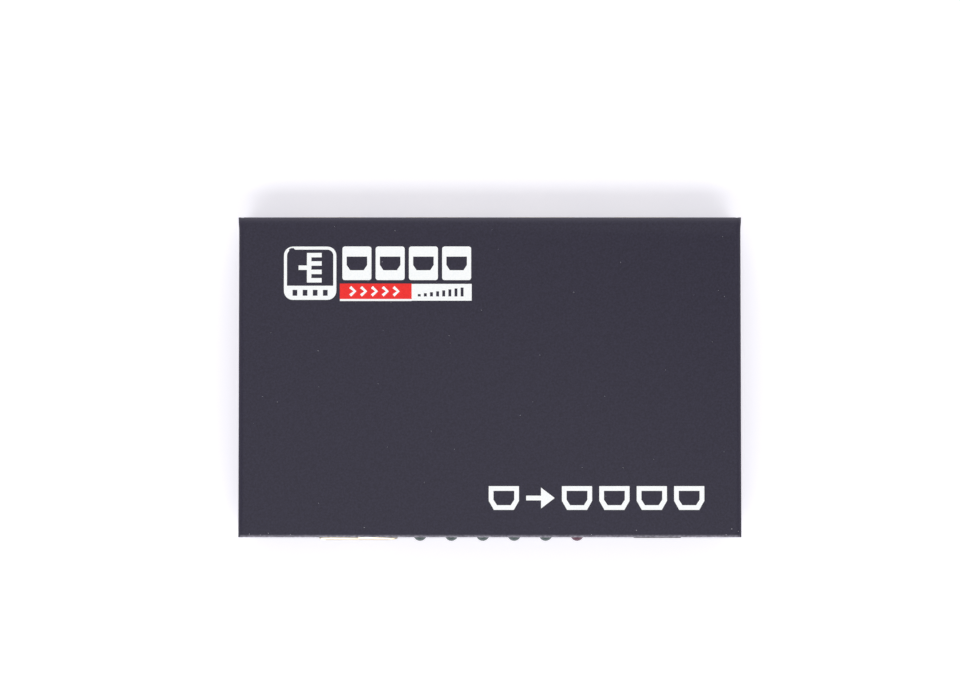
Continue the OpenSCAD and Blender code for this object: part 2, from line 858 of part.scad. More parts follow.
module power_jack_body() {
    mouth = 0.4;
    slot_front = spring_y - spring_reach - spring_t;
    slot_w = spring_w + 2 * spring_clear;
    color(moulded_black)
    at_jack()
        difference() {
            union() {
                along_y(jack_block_l) bent_top(jack_w, jack_h, jack_corner_r);
                along_y(jack_l) {
                    translate([0, jack_axis_h]) circle(jack_barrel_r);
                    translate([-jack_barrel_r, 0]) square([2 * jack_barrel_r, jack_axis_h]);
                }
            }
            on_jack_axis(-over) cylinder(h = jack_bore_l + over, d = jack_bore_d);
            on_jack_axis(-eps) cylinder(h = mouth, d1 = jack_bore_d + 2 * mouth, d2 = jack_bore_d);
            on_jack_axis(jack_bore_l - over) cylinder(h = jack_l, d = jack_root_d + 2 * fit);
            translate([-slot_w / 2, slot_front, -over])
                cube([slot_w, spring_y + spring_t + spring_clear - slot_front, jack_axis_h + over]);
        }
}

// The centre pin, stepped down where it is riveted through the back wall to its terminal
module power_jack_pin() {
    tip = jack_pin_d / 4;
    pin_back = jack_bore_l - jack_pin_gap;
    color(bright_metal)
    at_jack() {
        on_jack_axis(jack_pin_recess)
            rotate_extrude()
                polygon([[0, 0], [jack_pin_d / 2 - tip, 0], [jack_pin_d / 2, tip],
                    [jack_pin_d / 2, pin_back - jack_pin_recess],
                    [jack_root_d / 2, pin_back - jack_pin_recess],
                    [jack_root_d / 2, jack_l + terminal_t - jack_pin_recess],
                    [0, jack_l + terminal_t - jack_pin_recess]]);
        translate([0, jack_l, 0]) along_y(terminal_t) terminal_plate(jack_axis_h + terminal_w / 2);
    }
}

// A flat terminal from below the board up to height top
module terminal_plate(top) {
    tip = 0.5;
    low = -board_t - terminal_below;
    polygon([[-terminal_w / 2 + tip, low], [terminal_w / 2 - tip, low], [terminal_w / 2, low + tip],
        [terminal_w / 2, top], [-terminal_w / 2, top], [-terminal_w / 2, low + tip]]);
}

module power_jack_spring() {
    color(bright_metal)
    at_jack() {
        along_x(spring_w)
            strip([[spring_y, -board_t - terminal_below], [spring_y, jack_floor - spring_sink],
                [spring_y - spring_crest, jack_floor + spring_rise],
                [spring_y - spring_reach, jack_floor - spring_sink]], spring_t, spring_t, 2);
        translate([jack_barrel_r + fit, switch_y, 0]) rotate(90)
            translate([0, -terminal_t, 0]) along_y(terminal_t) terminal_plate(jack_axis_h - over);
    }
}

// Lights

module light(i, lens_colour) {
    r = led_d / 2;
    color(lens_colour)
    translate([led_xs[i], led_back, led_z]) rotate([90, 0, 0])
        rotate_extrude() {
            square([led_rim_d / 2, led_rim_l]);
            square([r, led_l - r]);
            translate([0, led_l - r]) quarter(r);
        }
}

module light_leads() {
    color(bright_metal)
    for (x = led_xs, side = [-1, 1])
        translate([x + side * led_lead_pitch / 2, led_back, 0]) along_x(led_lead)
            strip([[0, led_z + led_lead / 2], [led_lead_out, led_z + led_lead / 2],
                [led_lead_out, board_bottom - led_lead_below]], led_lead, led_lead / 2, 2);
}

// Board parts

module on_board(at = [0, 0]) {
    translate([at.x, at.y, board_top]) children();
}

module splitter_chip() {
    dimple = [1.2, 0.1];
    color(moulded_black)
    on_board([0, chip_y])
        translate([0, 0, chip_lift])
            difference() {
                translate([0, -chip_w / 2, 0]) moulded_block([chip_w, chip_w, chip_t]);
                translate([-chip_w / 2 + dimple.x, -chip_w / 2 + dimple.x, chip_t - dimple.y])
                    cylinder(h = over, d = dimple.x);
            }
}

module splitter_chip_leads() {
    color(bright_metal)
    on_board([0, chip_y])
        for (side = [0:3], i = [0:chip_leads - 1])
            rotate(side * 90)
                translate([chip_pitch * (i - (chip_leads - 1) / 2), chip_w / 2, 0])
                    gull_lead(chip_lift + (chip_t + lead_t) / 2, chip_lead_w, fit);
}

// A small chip: leads of one width in a row along each long side
module leaded_chip(size, fronts, backs, pitch, lead_w, back_w) {
    z = chip_lift + (size.z + lead_t) / 2;
    translate([0, -size.y / 2, chip_lift]) moulded_block(size);
    for (i = [0:fronts - 1])
        translate([pitch * (i - (fronts - 1) / 2), -size.y / 2, 0])
            rotate(180) gull_lead(z, lead_w, -over / 2);
    for (i = [0:backs - 1])
        translate([pitch * (i - (backs - 1) / 2), size.y / 2, 0]) gull_lead(z, back_w, -over / 2);
}

module memory_chip() {
    color(moulded_black)
    on_board(memory_at)
        leaded_chip(memory_size, memory_leads, memory_leads, memory_pitch, memory_lead_w, memory_lead_w);
}

module voltage_regulators() {
    color(moulded_black)
    for (i = [0, 1])
        on_board(regulator_at + [0, i * regulator_pitch])
            leaded_chip(regulator_size, regulator_leads, 1, regulator_lead_pitch, regulator_lead_w,
                regulator_tab_w);
}

module stadium(length, width) {
    square([length - width, width], center = true);
    both_sides() translate([(length - width) / 2, 0]) circle(d = width);
}

module clock_crystal() {
    rim_h = 0.6;
    rim = 0.5;
    can_h = 3.4;
    color(bright_metal)
    on_board(crystal_at) {
        linear_extrude(rim_h) stadium(crystal_size.x, crystal_size.y);
        linear_extrude(can_h) stadium(crystal_size.x - 2 * rim, crystal_size.y - 2 * rim);
    }
}

module power_coil() {
    groove_margin = 1;
    groove_r = coil_w / 2 - groove_margin;
    groove_w = 0.4;
    groove_depth = 0.5;
    color(ferrite_grey)
    on_board(coil_at)
        difference() {
            translate([0, -coil_w / 2, 0])
                linear_extrude(coil_h) polygon(rounded(standing(coil_w, coil_w), coil_edge, 1));
            translate([0, 0, coil_h - groove_depth])
                difference() {
                    cylinder(h = over, r = groove_r);
                    translate([0, 0, -over]) cylinder(h = 3 * over, r = groove_r - groove_w);
                }
        }
}

// A can on its square moulded base, with the crimp groove near its foot
module bulk_capacitors() {
    base_h = 1.2;
    foot_inset = 0.2;
    foot_rise = 0.1;
    groove = [0.35, 1.4];
    edge = 0.3;
    r = capacitor_d / 2;
    color(bright_metal)
    for (i = [0, 1])
        on_board([board_half_w - capacitor_inset, capacitor_y + i * capacitor_pitch]) {
            translate([0, -capacitor_base / 2, 0])
                linear_extrude(base_h)
                    polygon(rounded(standing(capacitor_base, capacitor_base), capacitor_base_edge, 1));
            rotate_extrude()
                polygon([[0, 0], [r - foot_inset, 0], [r - foot_inset, base_h], [r, base_h + foot_rise],
                    [r, base_h + groove.y / 2], [r - groove.x, base_h + groove.y],
                    [r, base_h + 3 / 2 * groove.y], [r, capacitor_h - edge], [r - edge, capacitor_h],
                    [0, capacitor_h]]);
        }
}

// A small part with raised solder ends
module end_capped(size, cap_l) {
    thin = 0.03;
    translate([-size.x / 2, -size.y / 2 + thin, thin])
        cube([size.x, size.y - 2 * thin, size.z - 2 * thin]);
    both_sides() translate([size.x / 2 - cap_l, -size.y / 2, 0]) cube([cap_l, size.y, size.z]);
}

module passive_row(y) {
    for (i = [0:passive_count - 1])
        on_board([passive_pitch * (i - (passive_count - 1) / 2), y]) rotate(90) children();
}

module ceramic_capacitors() {
    row_gap = 2;
    color(ceramic_tan) {
        passive_row(chip_y - chip_edge - row_gap) end_capped(ceramic_size, ceramic_cap_l);
        passive_row(chip_y + chip_edge + row_gap) end_capped(ceramic_size, ceramic_cap_l);
    }
}

module resistors() {
    row_gap = 4.6;
    color(moulded_black) {
        passive_row(chip_y - chip_edge - row_gap) end_capped(resistor_size, ceramic_cap_l);
        passive_row(chip_y + chip_edge + row_gap) end_capped(resistor_size, ceramic_cap_l);
    }
}

// Two small arrays behind each socket
module surge_arrays() {
    spread = 3;
    color(moulded_black)
    translate([0, 0, board_top])
        at_sockets()
            for (side = [-1, 1])
                translate([side * spread - surge_size.x / 2, surge_y, 0]) cube(surge_size);
}

top_cover();
base_tray();
board_standoffs();
rubber_feet();
case_screws();
board_screws();
circuit_board();
input_at_board() socket_shell();  // input_socket_shell
input_at_board() socket_insulator();  // input_socket_insulator
input_at_board() socket_contacts();  // input_socket_contacts
output_at_board(0) socket_shell();  // output_socket_shell_1
output_at_board(1) socket_shell();  // output_socket_shell_2
output_at_board(2) socket_shell();  // output_socket_shell_3
output_at_board(3) socket_shell();  // output_socket_shell_4
output_at_board(0) socket_insulator();  // output_socket_insulator_1
output_at_board(1) socket_insulator();  // output_socket_insulator_2
output_at_board(2) socket_insulator();  // output_socket_insulator_3
output_at_board(3) socket_insulator();  // output_socket_insulator_4
output_at_board(0) socket_contacts();  // output_socket_contacts_1
output_at_board(1) socket_contacts();  // output_socket_contacts_2
output_at_board(2) socket_contacts();  // output_socket_contacts_3
output_at_board(3) socket_contacts();  // output_socket_contacts_4
power_jack_body();
power_jack_pin();
power_jack_spring();
light(0, lens_green);  // status_light_1
light(1, lens_green);  // status_light_2
light(2, lens_green);  // status_light_3
light(3, lens_green);  // status_light_4
light(4, lens_green);  // status_light_5
light(5, lens_red);  // power_light
light_leads();
splitter_chip();
splitter_chip_leads();
memory_chip();
clock_crystal();
voltage_regulators();
power_coil();
bulk_capacitors();
ceramic_capacitors();
resistors();
surge_arrays();
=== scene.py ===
import math

import bmesh
import bpy
from mathutils import Matrix, Vector


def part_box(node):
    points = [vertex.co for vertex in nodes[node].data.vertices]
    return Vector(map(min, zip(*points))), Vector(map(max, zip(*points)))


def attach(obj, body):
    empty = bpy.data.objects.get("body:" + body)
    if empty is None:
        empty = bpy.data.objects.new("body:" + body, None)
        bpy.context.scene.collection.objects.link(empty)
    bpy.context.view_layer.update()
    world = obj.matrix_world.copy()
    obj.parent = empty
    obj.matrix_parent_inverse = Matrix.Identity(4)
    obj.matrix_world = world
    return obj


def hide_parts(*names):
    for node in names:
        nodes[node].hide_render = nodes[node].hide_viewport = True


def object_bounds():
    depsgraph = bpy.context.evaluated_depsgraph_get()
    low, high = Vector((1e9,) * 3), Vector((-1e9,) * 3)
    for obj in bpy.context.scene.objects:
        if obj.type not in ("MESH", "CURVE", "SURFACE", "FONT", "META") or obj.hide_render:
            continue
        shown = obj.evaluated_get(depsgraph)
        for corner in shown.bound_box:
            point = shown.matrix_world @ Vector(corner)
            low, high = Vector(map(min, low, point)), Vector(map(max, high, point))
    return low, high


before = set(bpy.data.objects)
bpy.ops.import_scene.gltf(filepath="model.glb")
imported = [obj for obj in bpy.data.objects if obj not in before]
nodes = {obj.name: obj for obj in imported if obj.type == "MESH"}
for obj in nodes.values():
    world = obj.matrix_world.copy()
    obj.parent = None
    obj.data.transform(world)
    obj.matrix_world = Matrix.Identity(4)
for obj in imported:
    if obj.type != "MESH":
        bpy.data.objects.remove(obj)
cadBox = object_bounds()
mm = 0.001
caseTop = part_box("top_cover")[1].z
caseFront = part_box("top_cover")[0].y
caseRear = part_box("top_cover")[1].y
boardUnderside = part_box("circuit_board")[0].z
print("frame loaded:", len(nodes), "nodes")


# Small helpers

def linearColour(hexText):  # a colour as a picture shows it, "#RRGGBB", turned linear
    shares = [int(hexText[i:i + 2], 16) / 255 for i in (1, 3, 5)]
    return [s / 12.92 if s <= 0.04045 else ((s + 0.055) / 1.055) ** 2.4 for s in shares] + [1.0]


def addNode(tree, kind, inputs=None, **settings):  # an input is a value, or another node's output to link
    node = tree.nodes.new(kind)
    for name, value in settings.items():
        setattr(node, name, value)
    for key, value in (inputs or {}).items():
        if isinstance(value, bpy.types.NodeSocket):
            tree.links.new(value, node.inputs[key])
        else:
            node.inputs[key].default_value = value
    return node


def startMaterial(name, values):  # values go straight onto the shader's own sockets
    material = bpy.data.materials.new(name)
    material.use_nodes = True
    shader = material.node_tree.nodes["Principled BSDF"]
    for key, value in values.items():
        shader.inputs[key].default_value = value
    return material, material.node_tree, shader


def perMm(size):  # the texture scale at which one feature is this many millimetres
    return 1 / (size * mm)


def finishPiece(name, mesh, material, stoodFor=()):
    for polygon in mesh.polygons:
        polygon.use_smooth = True
    piece = bpy.data.objects.new(name, mesh)
    bpy.context.scene.collection.objects.link(piece)
    mesh.materials.clear()
    mesh.materials.append(material)
    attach(piece, "root")
    if stoodFor:
        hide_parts(*stoodFor)


def bakedMesh(thing, name):  # the mesh of an object with its modifiers applied; the object goes
    evaluated = thing.evaluated_get(bpy.context.evaluated_depsgraph_get())
    mesh = bpy.data.meshes.new_from_object(evaluated)
    mesh.name = name
    bpy.data.objects.remove(thing)
    return mesh


mergeDistance = 0.0005  # mm
flatAngle = 0.3         # degrees, under which two faces are one
sharpAngle = 32         # degrees, over which an edge gets an arris


def shapeOfNode(nodeName):  # a merged copy of a CAD node's mesh, with its flat faces whole again
    shape = bmesh.new()
    shape.from_mesh(nodes[nodeName].data)
    bmesh.ops.remove_doubles(shape, verts=shape.verts, dist=mergeDistance * mm)
    bmesh.ops.dissolve_limit(shape, angle_limit=math.radians(flatAngle), verts=shape.verts,
                             edges=shape.edges)
    return shape


def breakEdges(shape, name, width, segments=2):  # rounds every sharp arris of a shape
    mesh = bpy.data.meshes.new(name)
    shape.to_mesh(mesh)
    shape.free()
    for polygon in mesh.polygons:
        polygon.use_smooth = True
    thing = bpy.data.objects.new(name + "Rough", mesh)
    bpy.context.scene.collection.objects.link(thing)
    bevel = thing.modifiers.new("arris", "BEVEL")
    bevel.width = width * mm
    bevel.segments = segments
    bevel.limit_method = "ANGLE"
    bevel.angle_limit = math.radians(sharpAngle)
    bevel.harden_normals = True
    bevel.use_clamp_overlap = True
    return bakedMesh(thing, name)


def newTree(name, sizes):  # a Geometry Nodes tree with one named input for each size
    tree = bpy.data.node_groups.new(name, "GeometryNodeTree")
    tree.interface.new_socket("Geometry", in_out="INPUT", socket_type="NodeSocketGeometry")
    for size, value in sizes.items():
        kind = "NodeSocketInt" if isinstance(value, int) else "NodeSocketFloat"
        tree.interface.new_socket(size, in_out="INPUT", socket_type=kind)
    tree.interface.new_socket("Geometry", in_out="OUTPUT", socket_type="NodeSocketGeometry")
    return tree, addNode(tree, "NodeGroupInput").outputs


def closeTree(tree, points, shape, scale, material):  # a turned copy of a shape on each point, made real
    turn = addNode(tree, "GeometryNodeInputNamedAttribute", {"Name": "turn"}, data_type="FLOAT_VECTOR")
    copies = addNode(tree, "GeometryNodeInstanceOnPoints",
                     {"Points": points, "Instance": shape, "Rotation": turn.outputs[0], "Scale": scale})
    real = addNode(tree, "GeometryNodeRealizeInstances", {0: copies.outputs[0]})
    done = addNode(tree, "GeometryNodeSetMaterial", {0: real.outputs[0], "Material": material})
    addNode(tree, "NodeGroupOutput", {0: done.outputs[0]})


def runTree(name, tree, sizes, seedMesh):  # the plain mesh that a tree makes from a seed mesh
    thing = bpy.data.objects.new(name + "Seed", seedMesh)
    bpy.context.scene.collection.objects.link(thing)
    modifier = thing.modifiers.new(name, "NODES")
    modifier.node_group = tree
    for item in tree.interface.items_tree:
        if item.in_out == "INPUT" and item.name in sizes:
            modifier[item.identifier] = sizes[item.name]
    return bakedMesh(thing, name)


def pointSeed(name, places, turns=None):  # loose points in metres, each with its own turn
    mesh = bpy.data.meshes.new(name + "Points")
    mesh.from_pydata(places, [], [])
    attribute = mesh.attributes.new("turn", "FLOAT_VECTOR", "POINT")
    for item, turn in zip(attribute.data, turns or [(0, 0, 0)] * len(places)):
        item.vector = turn
    return mesh


# Camera, floor and light

view = {"place": (-2.09, -15.44, 622.0), "tilt": 2.067, "lens": 106.13}  # mm, degrees


def placeCamera():
    data = bpy.data.cameras.new("camera")
    data.lens = view["lens"]
    data.clip_start = 0.01
    camera = bpy.data.objects.new("camera", data)
    camera.location = Vector(view["place"]) * mm
    camera.rotation_euler = (math.radians(view["tilt"]), 0, 0)
    bpy.context.scene.collection.objects.link(camera)
    bpy.context.scene.camera = camera


studio = {                                  # metres and watts
    "floorColour": "#EFEEF3",
    "floorSize": 8.0,
    "floorSink": 0.02 * mm,                 # the feet's soles don't lie in the floor's own plane
    "floorLift": 0.39,                      # what is seen on top of the floor's own light, towards white
    "liftColour": "#F6F4FD",
    "liftFrom": 0.2, "liftTo": 1.0,         # the lift grows to full white this far from a spot
    "liftSpot": (0.0, 0.25, 0.0),           # behind the object, where its shadow lies; painted light on the floor grows away from it
    "keyPlace": (0.0, -0.40, 1.10),         # a long narrow box: its shadow is soft at its ends, firm behind
    "keySize": (0.9, 0.17),
    "keyPower": 3.5,
    "fillPlace": (0.0, -0.9, 0.9),
    "fillSize": (1.2, 0.6),
    "fillPower": 3.0,
    "rearPlace": (0.0, 1.05, 0.60),
    "rearSize": (1.3, 0.5),
    "rearPower": 3.2,
    "sky": [(0.0, 1.0), (0.14, 1.0), (0.26, 0.5), (0.75, 0.5), (0.95, 0.9)],  # height, brightness
    "sideShade": 0.5,                       # how much darker the sky is at both sides
    "shadeAside": (0.35, 0.75),             # how far to the side that shade sets in
    "shadeUp": (0.15, 0.45),                # and how high
}


def placeLamp(name, place, size, power):
    lamp = bpy.data.lights.new(name, "AREA")
    lamp.shape = "RECTANGLE"
    lamp.size, lamp.size_y = size
    lamp.energy = power
    softbox = bpy.data.objects.new(name, lamp)
    softbox.location = place
    softbox.rotation_euler = (-Vector(place)).to_track_quat("-Z", "Y").to_euler()
    softbox.visible_camera = False
    bpy.context.scene.collection.objects.link(softbox)


def buildStage():
    # A sheet of painted board: matt, nearly white, and lifted to white for whoever looks at it
    material, tree, shader = startMaterial("paintedFloor", {
        "Base Color": linearColour(studio["floorColour"]), "Roughness": 0.9, "Specular IOR Level": 0.1,
        "Emission Color": linearColour(studio["liftColour"])})
    ray = addNode(tree, "ShaderNodeLightPath").outputs
    seen = addNode(tree, "ShaderNodeMath", {0: ray["Is Camera Ray"], 1: ray["Is Glossy Ray"]},
                   operation="MAXIMUM").outputs[0]
    seen = addNode(tree, "ShaderNodeMath", {0: seen, 1: ray["Is Transmission Ray"]},
                   operation="MAXIMUM").outputs[0]
    # Painted light: the glow grows with distance from a spot behind the case, so the floor in front is
    # painted brighter than where the shadow lies
    coords = addNode(tree, "ShaderNodeTexCoord").outputs["Object"]
    away = addNode(tree, "ShaderNodeVectorMath", {0: coords, 1: studio["liftSpot"]},
                   operation="DISTANCE").outputs["Value"]
    level = addNode(tree, "ShaderNodeMapRange", {"Value": away, "From Min": studio["liftFrom"],
                                                 "From Max": studio["liftTo"],
                                                 "To Min": studio["floorLift"], "To Max": 1.0},
                    interpolation_type="SMOOTHSTEP").outputs[0]
    lift = addNode(tree, "ShaderNodeMath", {0: seen, 1: level}, operation="MULTIPLY")
    tree.links.new(lift.outputs[0], shader.inputs["Emission Strength"])
    half, z = studio["floorSize"] / 2, -studio["floorSink"]
    mesh = bpy.data.meshes.new("floor")
    mesh.from_pydata([(-half, -half, z), (half, -half, z), (half, half, z), (-half, half, z)],
                     [], [(0, 1, 2, 3)])
    mesh.materials.append(material)
    floor = bpy.data.objects.new("floor", mesh)
    bpy.context.scene.collection.objects.link(floor)
    placeLamp("keyBox", studio["keyPlace"], studio["keySize"], studio["keyPower"])
    placeLamp("fillBox", studio["fillPlace"], studio["fillSize"], studio["fillPower"])
    placeLamp("rearBox", studio["rearPlace"], studio["rearSize"], studio["rearPower"])

    world = bpy.data.worlds.new("studio")
    world.use_nodes = True
    bpy.context.scene.world = world
    tree = world.node_tree
    tree.nodes.clear()
    direction = addNode(tree, "ShaderNodeTexCoord").outputs["Generated"]
    parts = addNode(tree, "ShaderNodeSeparateXYZ", {0: direction}).outputs
    ramp = addNode(tree, "ShaderNodeValToRGB", {0: parts["Z"]})
    while len(ramp.color_ramp.elements) < len(studio["sky"]):
        ramp.color_ramp.elements.new(0.5)
    for stop, (height, brightness) in zip(ramp.color_ramp.elements, studio["sky"]):
        stop.position = height
        stop.color = (brightness, brightness, brightness, 1)
    across = addNode(tree, "ShaderNodeMath", {0: parts["X"]}, operation="ABSOLUTE").outputs[0]
    least, most = studio["shadeAside"]
    aside = addNode(tree, "ShaderNodeMapRange", {"Value": across, "From Min": least, "From Max": most},
                    interpolation_type="SMOOTHSTEP").outputs[0]
    least, most = studio["shadeUp"]
    high = addNode(tree, "ShaderNodeMapRange", {"Value": parts["Z"], "From Min": least, "From Max": most},
                   interpolation_type="SMOOTHSTEP").outputs[0]
    both = addNode(tree, "ShaderNodeMath", {0: aside, 1: high}, operation="MULTIPLY").outputs[0]
    shade = addNode(tree, "ShaderNodeMath", {0: both, 1: -studio["sideShade"], 2: 1.0},
                    operation="MULTIPLY_ADD").outputs[0]
    light = addNode(tree, "ShaderNodeBackground", {"Color": ramp.outputs["Color"], "Strength": shade})
    addNode(tree, "ShaderNodeOutputWorld", {"Surface": light.outputs[0]})


placeCamera()
buildStage()
bpy.context.scene.view_settings.view_transform = "Standard"
print("camera, floor and light placed")


# Materials

powderCoat = {                           # mm
    "low": "#2B2836", "high": "#343142",
    "grain": 0.42, "peel": 1.2,          # the grit and the orange peel
    "relief": 0.02,
    "roughness": 0.6, "gloss": 0.25,
    "bareSteel": "#C9C6D2", "steelRoughness": 0.42,
    "wearFrom": -33.37, "wearTo": -33.92,            # along Y, up to the cut front edge
    "wearLow": 0.55, "wearHigh": 0.2,                # under the case's top
    "wearGrain": 0.3, "wearStretch": 0.55,
    "wearLeast": 0.18, "wearMost": 0.66,
    "paintedReflection": "#6C6A76", "reflectionMost": 0.34,            # the rear bend, painted paler: a painted reflection of the bright backdrop behind
    "reflectionFrom": 32.6, "rubTo": 34.05,                 # along Y
    "reflectionLow": 4.0, "reflectionHigh": 1.0,                   # under the case's top
}


def makePowderCoat(name, wornAndReflecting):
    # Polyester powder sprayed on steel and baked: a matt skin of fine grit over a slight orange peel. On
    # the cover the cut front edge is rubbed through to the steel; the rear bend gets a painted reflection,
    # a paler colour for the bright backdrop that it would mirror
    material, tree, shader = startMaterial(name, {"Specular IOR Level": powderCoat["gloss"]})
    coords = addNode(tree, "ShaderNodeTexCoord").outputs["Object"]
    grit = addNode(tree, "ShaderNodeTexNoise", {"Vector": coords, "Scale": perMm(powderCoat["grain"]),
                                                "Detail": 3.0, "Roughness": 0.6}).outputs["Fac"]
    peel = addNode(tree, "ShaderNodeTexNoise", {"Vector": coords, "Scale": perMm(powderCoat["peel"]),
                                                "Detail": 2.0}).outputs["Fac"]
    shade = addNode(tree, "ShaderNodeMapRange", {"Value": grit, "From Min": 0.3, "From Max": 0.7})
    colour = addNode(tree, "ShaderNodeMix", {0: shade.outputs[0], 6: linearColour(powderCoat["low"]),
                                             7: linearColour(powderCoat["high"])},
                     data_type="RGBA").outputs[2]
    if wornAndReflecting:
        place = addNode(tree, "ShaderNodeSeparateXYZ", {0: coords}).outputs
        # Painted reflection: the rear bend is painted paler, where it would mirror the bright backdrop
        # behind
        rear = addNode(tree, "ShaderNodeMapRange", {
            "Value": place["Y"], "From Min": powderCoat["reflectionFrom"] * mm,
            "From Max": powderCoat["rubTo"] * mm, "To Max": powderCoat["reflectionMost"]}).outputs[0]
        bend = addNode(tree, "ShaderNodeMapRange", {
            "Value": place["Z"], "From Min": caseTop - powderCoat["reflectionLow"] * mm,
            "From Max": caseTop - powderCoat["reflectionHigh"] * mm}).outputs[0]
        reflectionShare = addNode(tree, "ShaderNodeMath", {0: rear, 1: bend}, operation="MULTIPLY").outputs[0]
        colour = addNode(tree, "ShaderNodeMix", {0: reflectionShare, 6: colour,
                                                 7: linearColour(powderCoat["paintedReflection"])},
                         data_type="RGBA").outputs[2]
        edge = addNode(tree, "ShaderNodeMapRange", {
            "Value": place["Y"], "From Min": powderCoat["wearFrom"] * mm,
            "From Max": powderCoat["wearTo"] * mm}).outputs[0]
        top = addNode(tree, "ShaderNodeMapRange", {
            "Value": place["Z"], "From Min": caseTop - powderCoat["wearLow"] * mm,
            "From Max": caseTop - powderCoat["wearHigh"] * mm}).outputs[0]
        near = addNode(tree, "ShaderNodeMath", {0: edge, 1: top}, operation="MULTIPLY").outputs[0]
        along = addNode(tree, "ShaderNodeMapping", {
            "Vector": coords, "Scale": (powderCoat["wearStretch"], 1.0, 1.0)}).outputs[0]
        rub = addNode(tree, "ShaderNodeTexNoise", {"Vector": along, "Scale": perMm(powderCoat["wearGrain"]),
                                                   "Detail": 4.0}).outputs["Fac"]
        rub = addNode(tree, "ShaderNodeMapRange", {"Value": rub, "From Min": 0.3, "From Max": 0.72,
                                                   "To Min": powderCoat["wearLeast"],
                                                   "To Max": powderCoat["wearMost"]}).outputs[0]
        bare = addNode(tree, "ShaderNodeMath", {0: near, 1: rub}, operation="MULTIPLY").outputs[0]
        colour = addNode(tree, "ShaderNodeMix", {0: bare, 6: colour,
                                                 7: linearColour(powderCoat["bareSteel"])},
                         data_type="RGBA").outputs[2]
        rough = addNode(tree, "ShaderNodeMapRange", {"Value": bare, "To Min": powderCoat["roughness"],
                                                     "To Max": powderCoat["steelRoughness"]}).outputs[0]
        tree.links.new(bare, shader.inputs["Metallic"])
        tree.links.new(rough, shader.inputs["Roughness"])
    else:
        shader.inputs["Roughness"].default_value = powderCoat["roughness"]
    tree.links.new(colour, shader.inputs["Base Color"])
    both = addNode(tree, "ShaderNodeMath", {0: peel, 1: 2.0, 2: grit}, operation="MULTIPLY_ADD")
    bump = addNode(tree, "ShaderNodeBump", {"Strength": 0.35, "Distance": powderCoat["relief"] * mm,
                                            "Height": both.outputs[0]})
    tree.links.new(bump.outputs[0], shader.inputs["Normal"])
    return material


goldPlate = {"colour": "#FCF4E2", "tarnish": "#F4E3C0", "patch": 2.2,  # mm
             "roughness": 0.32, "smoother": 0.06, "rougher": 0.10,
             "streak": 0.12, "relief": 0.004}                          # mm


def makeGoldPlate():
    # Gold flashed over nickel on stamped brass: bright, with the soft streaks of the rolled strip
    material, tree, shader = startMaterial("goldFlashedBrass", {"Metallic": 1.0})
    coords = addNode(tree, "ShaderNodeTexCoord").outputs["Object"]
    patch = addNode(tree, "ShaderNodeTexNoise", {"Vector": coords, "Scale": perMm(goldPlate["patch"]),
                                                 "Detail": 3.0}).outputs["Fac"]
    colour = addNode(tree, "ShaderNodeMix", {0: patch, 6: linearColour(goldPlate["colour"]),
                                             7: linearColour(goldPlate["tarnish"])}, data_type="RGBA")
    tree.links.new(colour.outputs[2], shader.inputs["Base Color"])
    stretch = addNode(tree, "ShaderNodeMapping", {"Vector": coords, "Scale": (1.0, 0.08, 1.0)}).outputs[0]
    streak = addNode(tree, "ShaderNodeTexNoise", {"Vector": stretch,
                                                  "Scale": perMm(goldPlate["streak"])}).outputs["Fac"]
    rough = addNode(tree, "ShaderNodeMapRange", {
        "Value": streak, "To Min": goldPlate["roughness"] - goldPlate["smoother"],
        "To Max": goldPlate["roughness"] + goldPlate["rougher"]})
    tree.links.new(rough.outputs[0], shader.inputs["Roughness"])
    bump = addNode(tree, "ShaderNodeBump", {"Strength": 0.2, "Distance": goldPlate["relief"] * mm,
                                            "Height": streak})
    tree.links.new(bump.outputs[0], shader.inputs["Normal"])
    return material


finish = {
    "mouldingStray": 0.08,                        # how far the roughness strays either way
    "metalSmoother": 0.07, "metalRougher": 0.10,
    "metalRelief": 0.005,                         # mm
    "dyePatch": 1.1,                              # mm
}


def makeMoulding(name, low, high, grain, roughness, depth):
    # A moulded or cast surface: two near tones, a fine grain and no direction
    material, tree, shader = startMaterial(name, {"IOR": 1.5})
    coords = addNode(tree, "ShaderNodeTexCoord").outputs["Object"]
    noise = addNode(tree, "ShaderNodeTexNoise", {"Vector": coords, "Scale": perMm(grain),
                                                 "Detail": 4.0}).outputs["Fac"]
    colour = addNode(tree, "ShaderNodeMix", {0: noise, 6: linearColour(low), 7: linearColour(high)},
                     data_type="RGBA")
    rough = addNode(tree, "ShaderNodeMapRange", {
        "Value": noise, "To Min": roughness - finish["mouldingStray"],
        "To Max": roughness + finish["mouldingStray"]})
    bump = addNode(tree, "ShaderNodeBump", {"Strength": 0.4, "Distance": depth * mm, "Height": noise})
    tree.links.new(colour.outputs[2], shader.inputs["Base Color"])
    tree.links.new(rough.outputs[0], shader.inputs["Roughness"])
    tree.links.new(bump.outputs[0], shader.inputs["Normal"])
    return material


def makeMetal(name, low, high, grain, roughness, stretch):
    # Plated or drawn metal: the tone and gloss wander along the direction that it was worked in
    material, tree, shader = startMaterial(name, {"Metallic": 1.0})
    coords = addNode(tree, "ShaderNodeTexCoord").outputs["Object"]
    along = addNode(tree, "ShaderNodeMapping", {"Vector": coords, "Scale": stretch}).outputs[0]
    noise = addNode(tree, "ShaderNodeTexNoise", {"Vector": along, "Scale": perMm(grain),
                                                 "Detail": 3.0}).outputs["Fac"]
    colour = addNode(tree, "ShaderNodeMix", {0: noise, 6: linearColour(low), 7: linearColour(high)},
                     data_type="RGBA")
    rough = addNode(tree, "ShaderNodeMapRange", {
        "Value": noise, "To Min": roughness - finish["metalSmoother"],
        "To Max": roughness + finish["metalRougher"]})
    bump = addNode(tree, "ShaderNodeBump", {"Strength": 0.2, "Distance": finish["metalRelief"] * mm,
                                            "Height": noise})
    tree.links.new(colour.outputs[2], shader.inputs["Base Color"])
    tree.links.new(rough.outputs[0], shader.inputs["Roughness"])
    tree.links.new(bump.outputs[0], shader.inputs["Normal"])
    return material


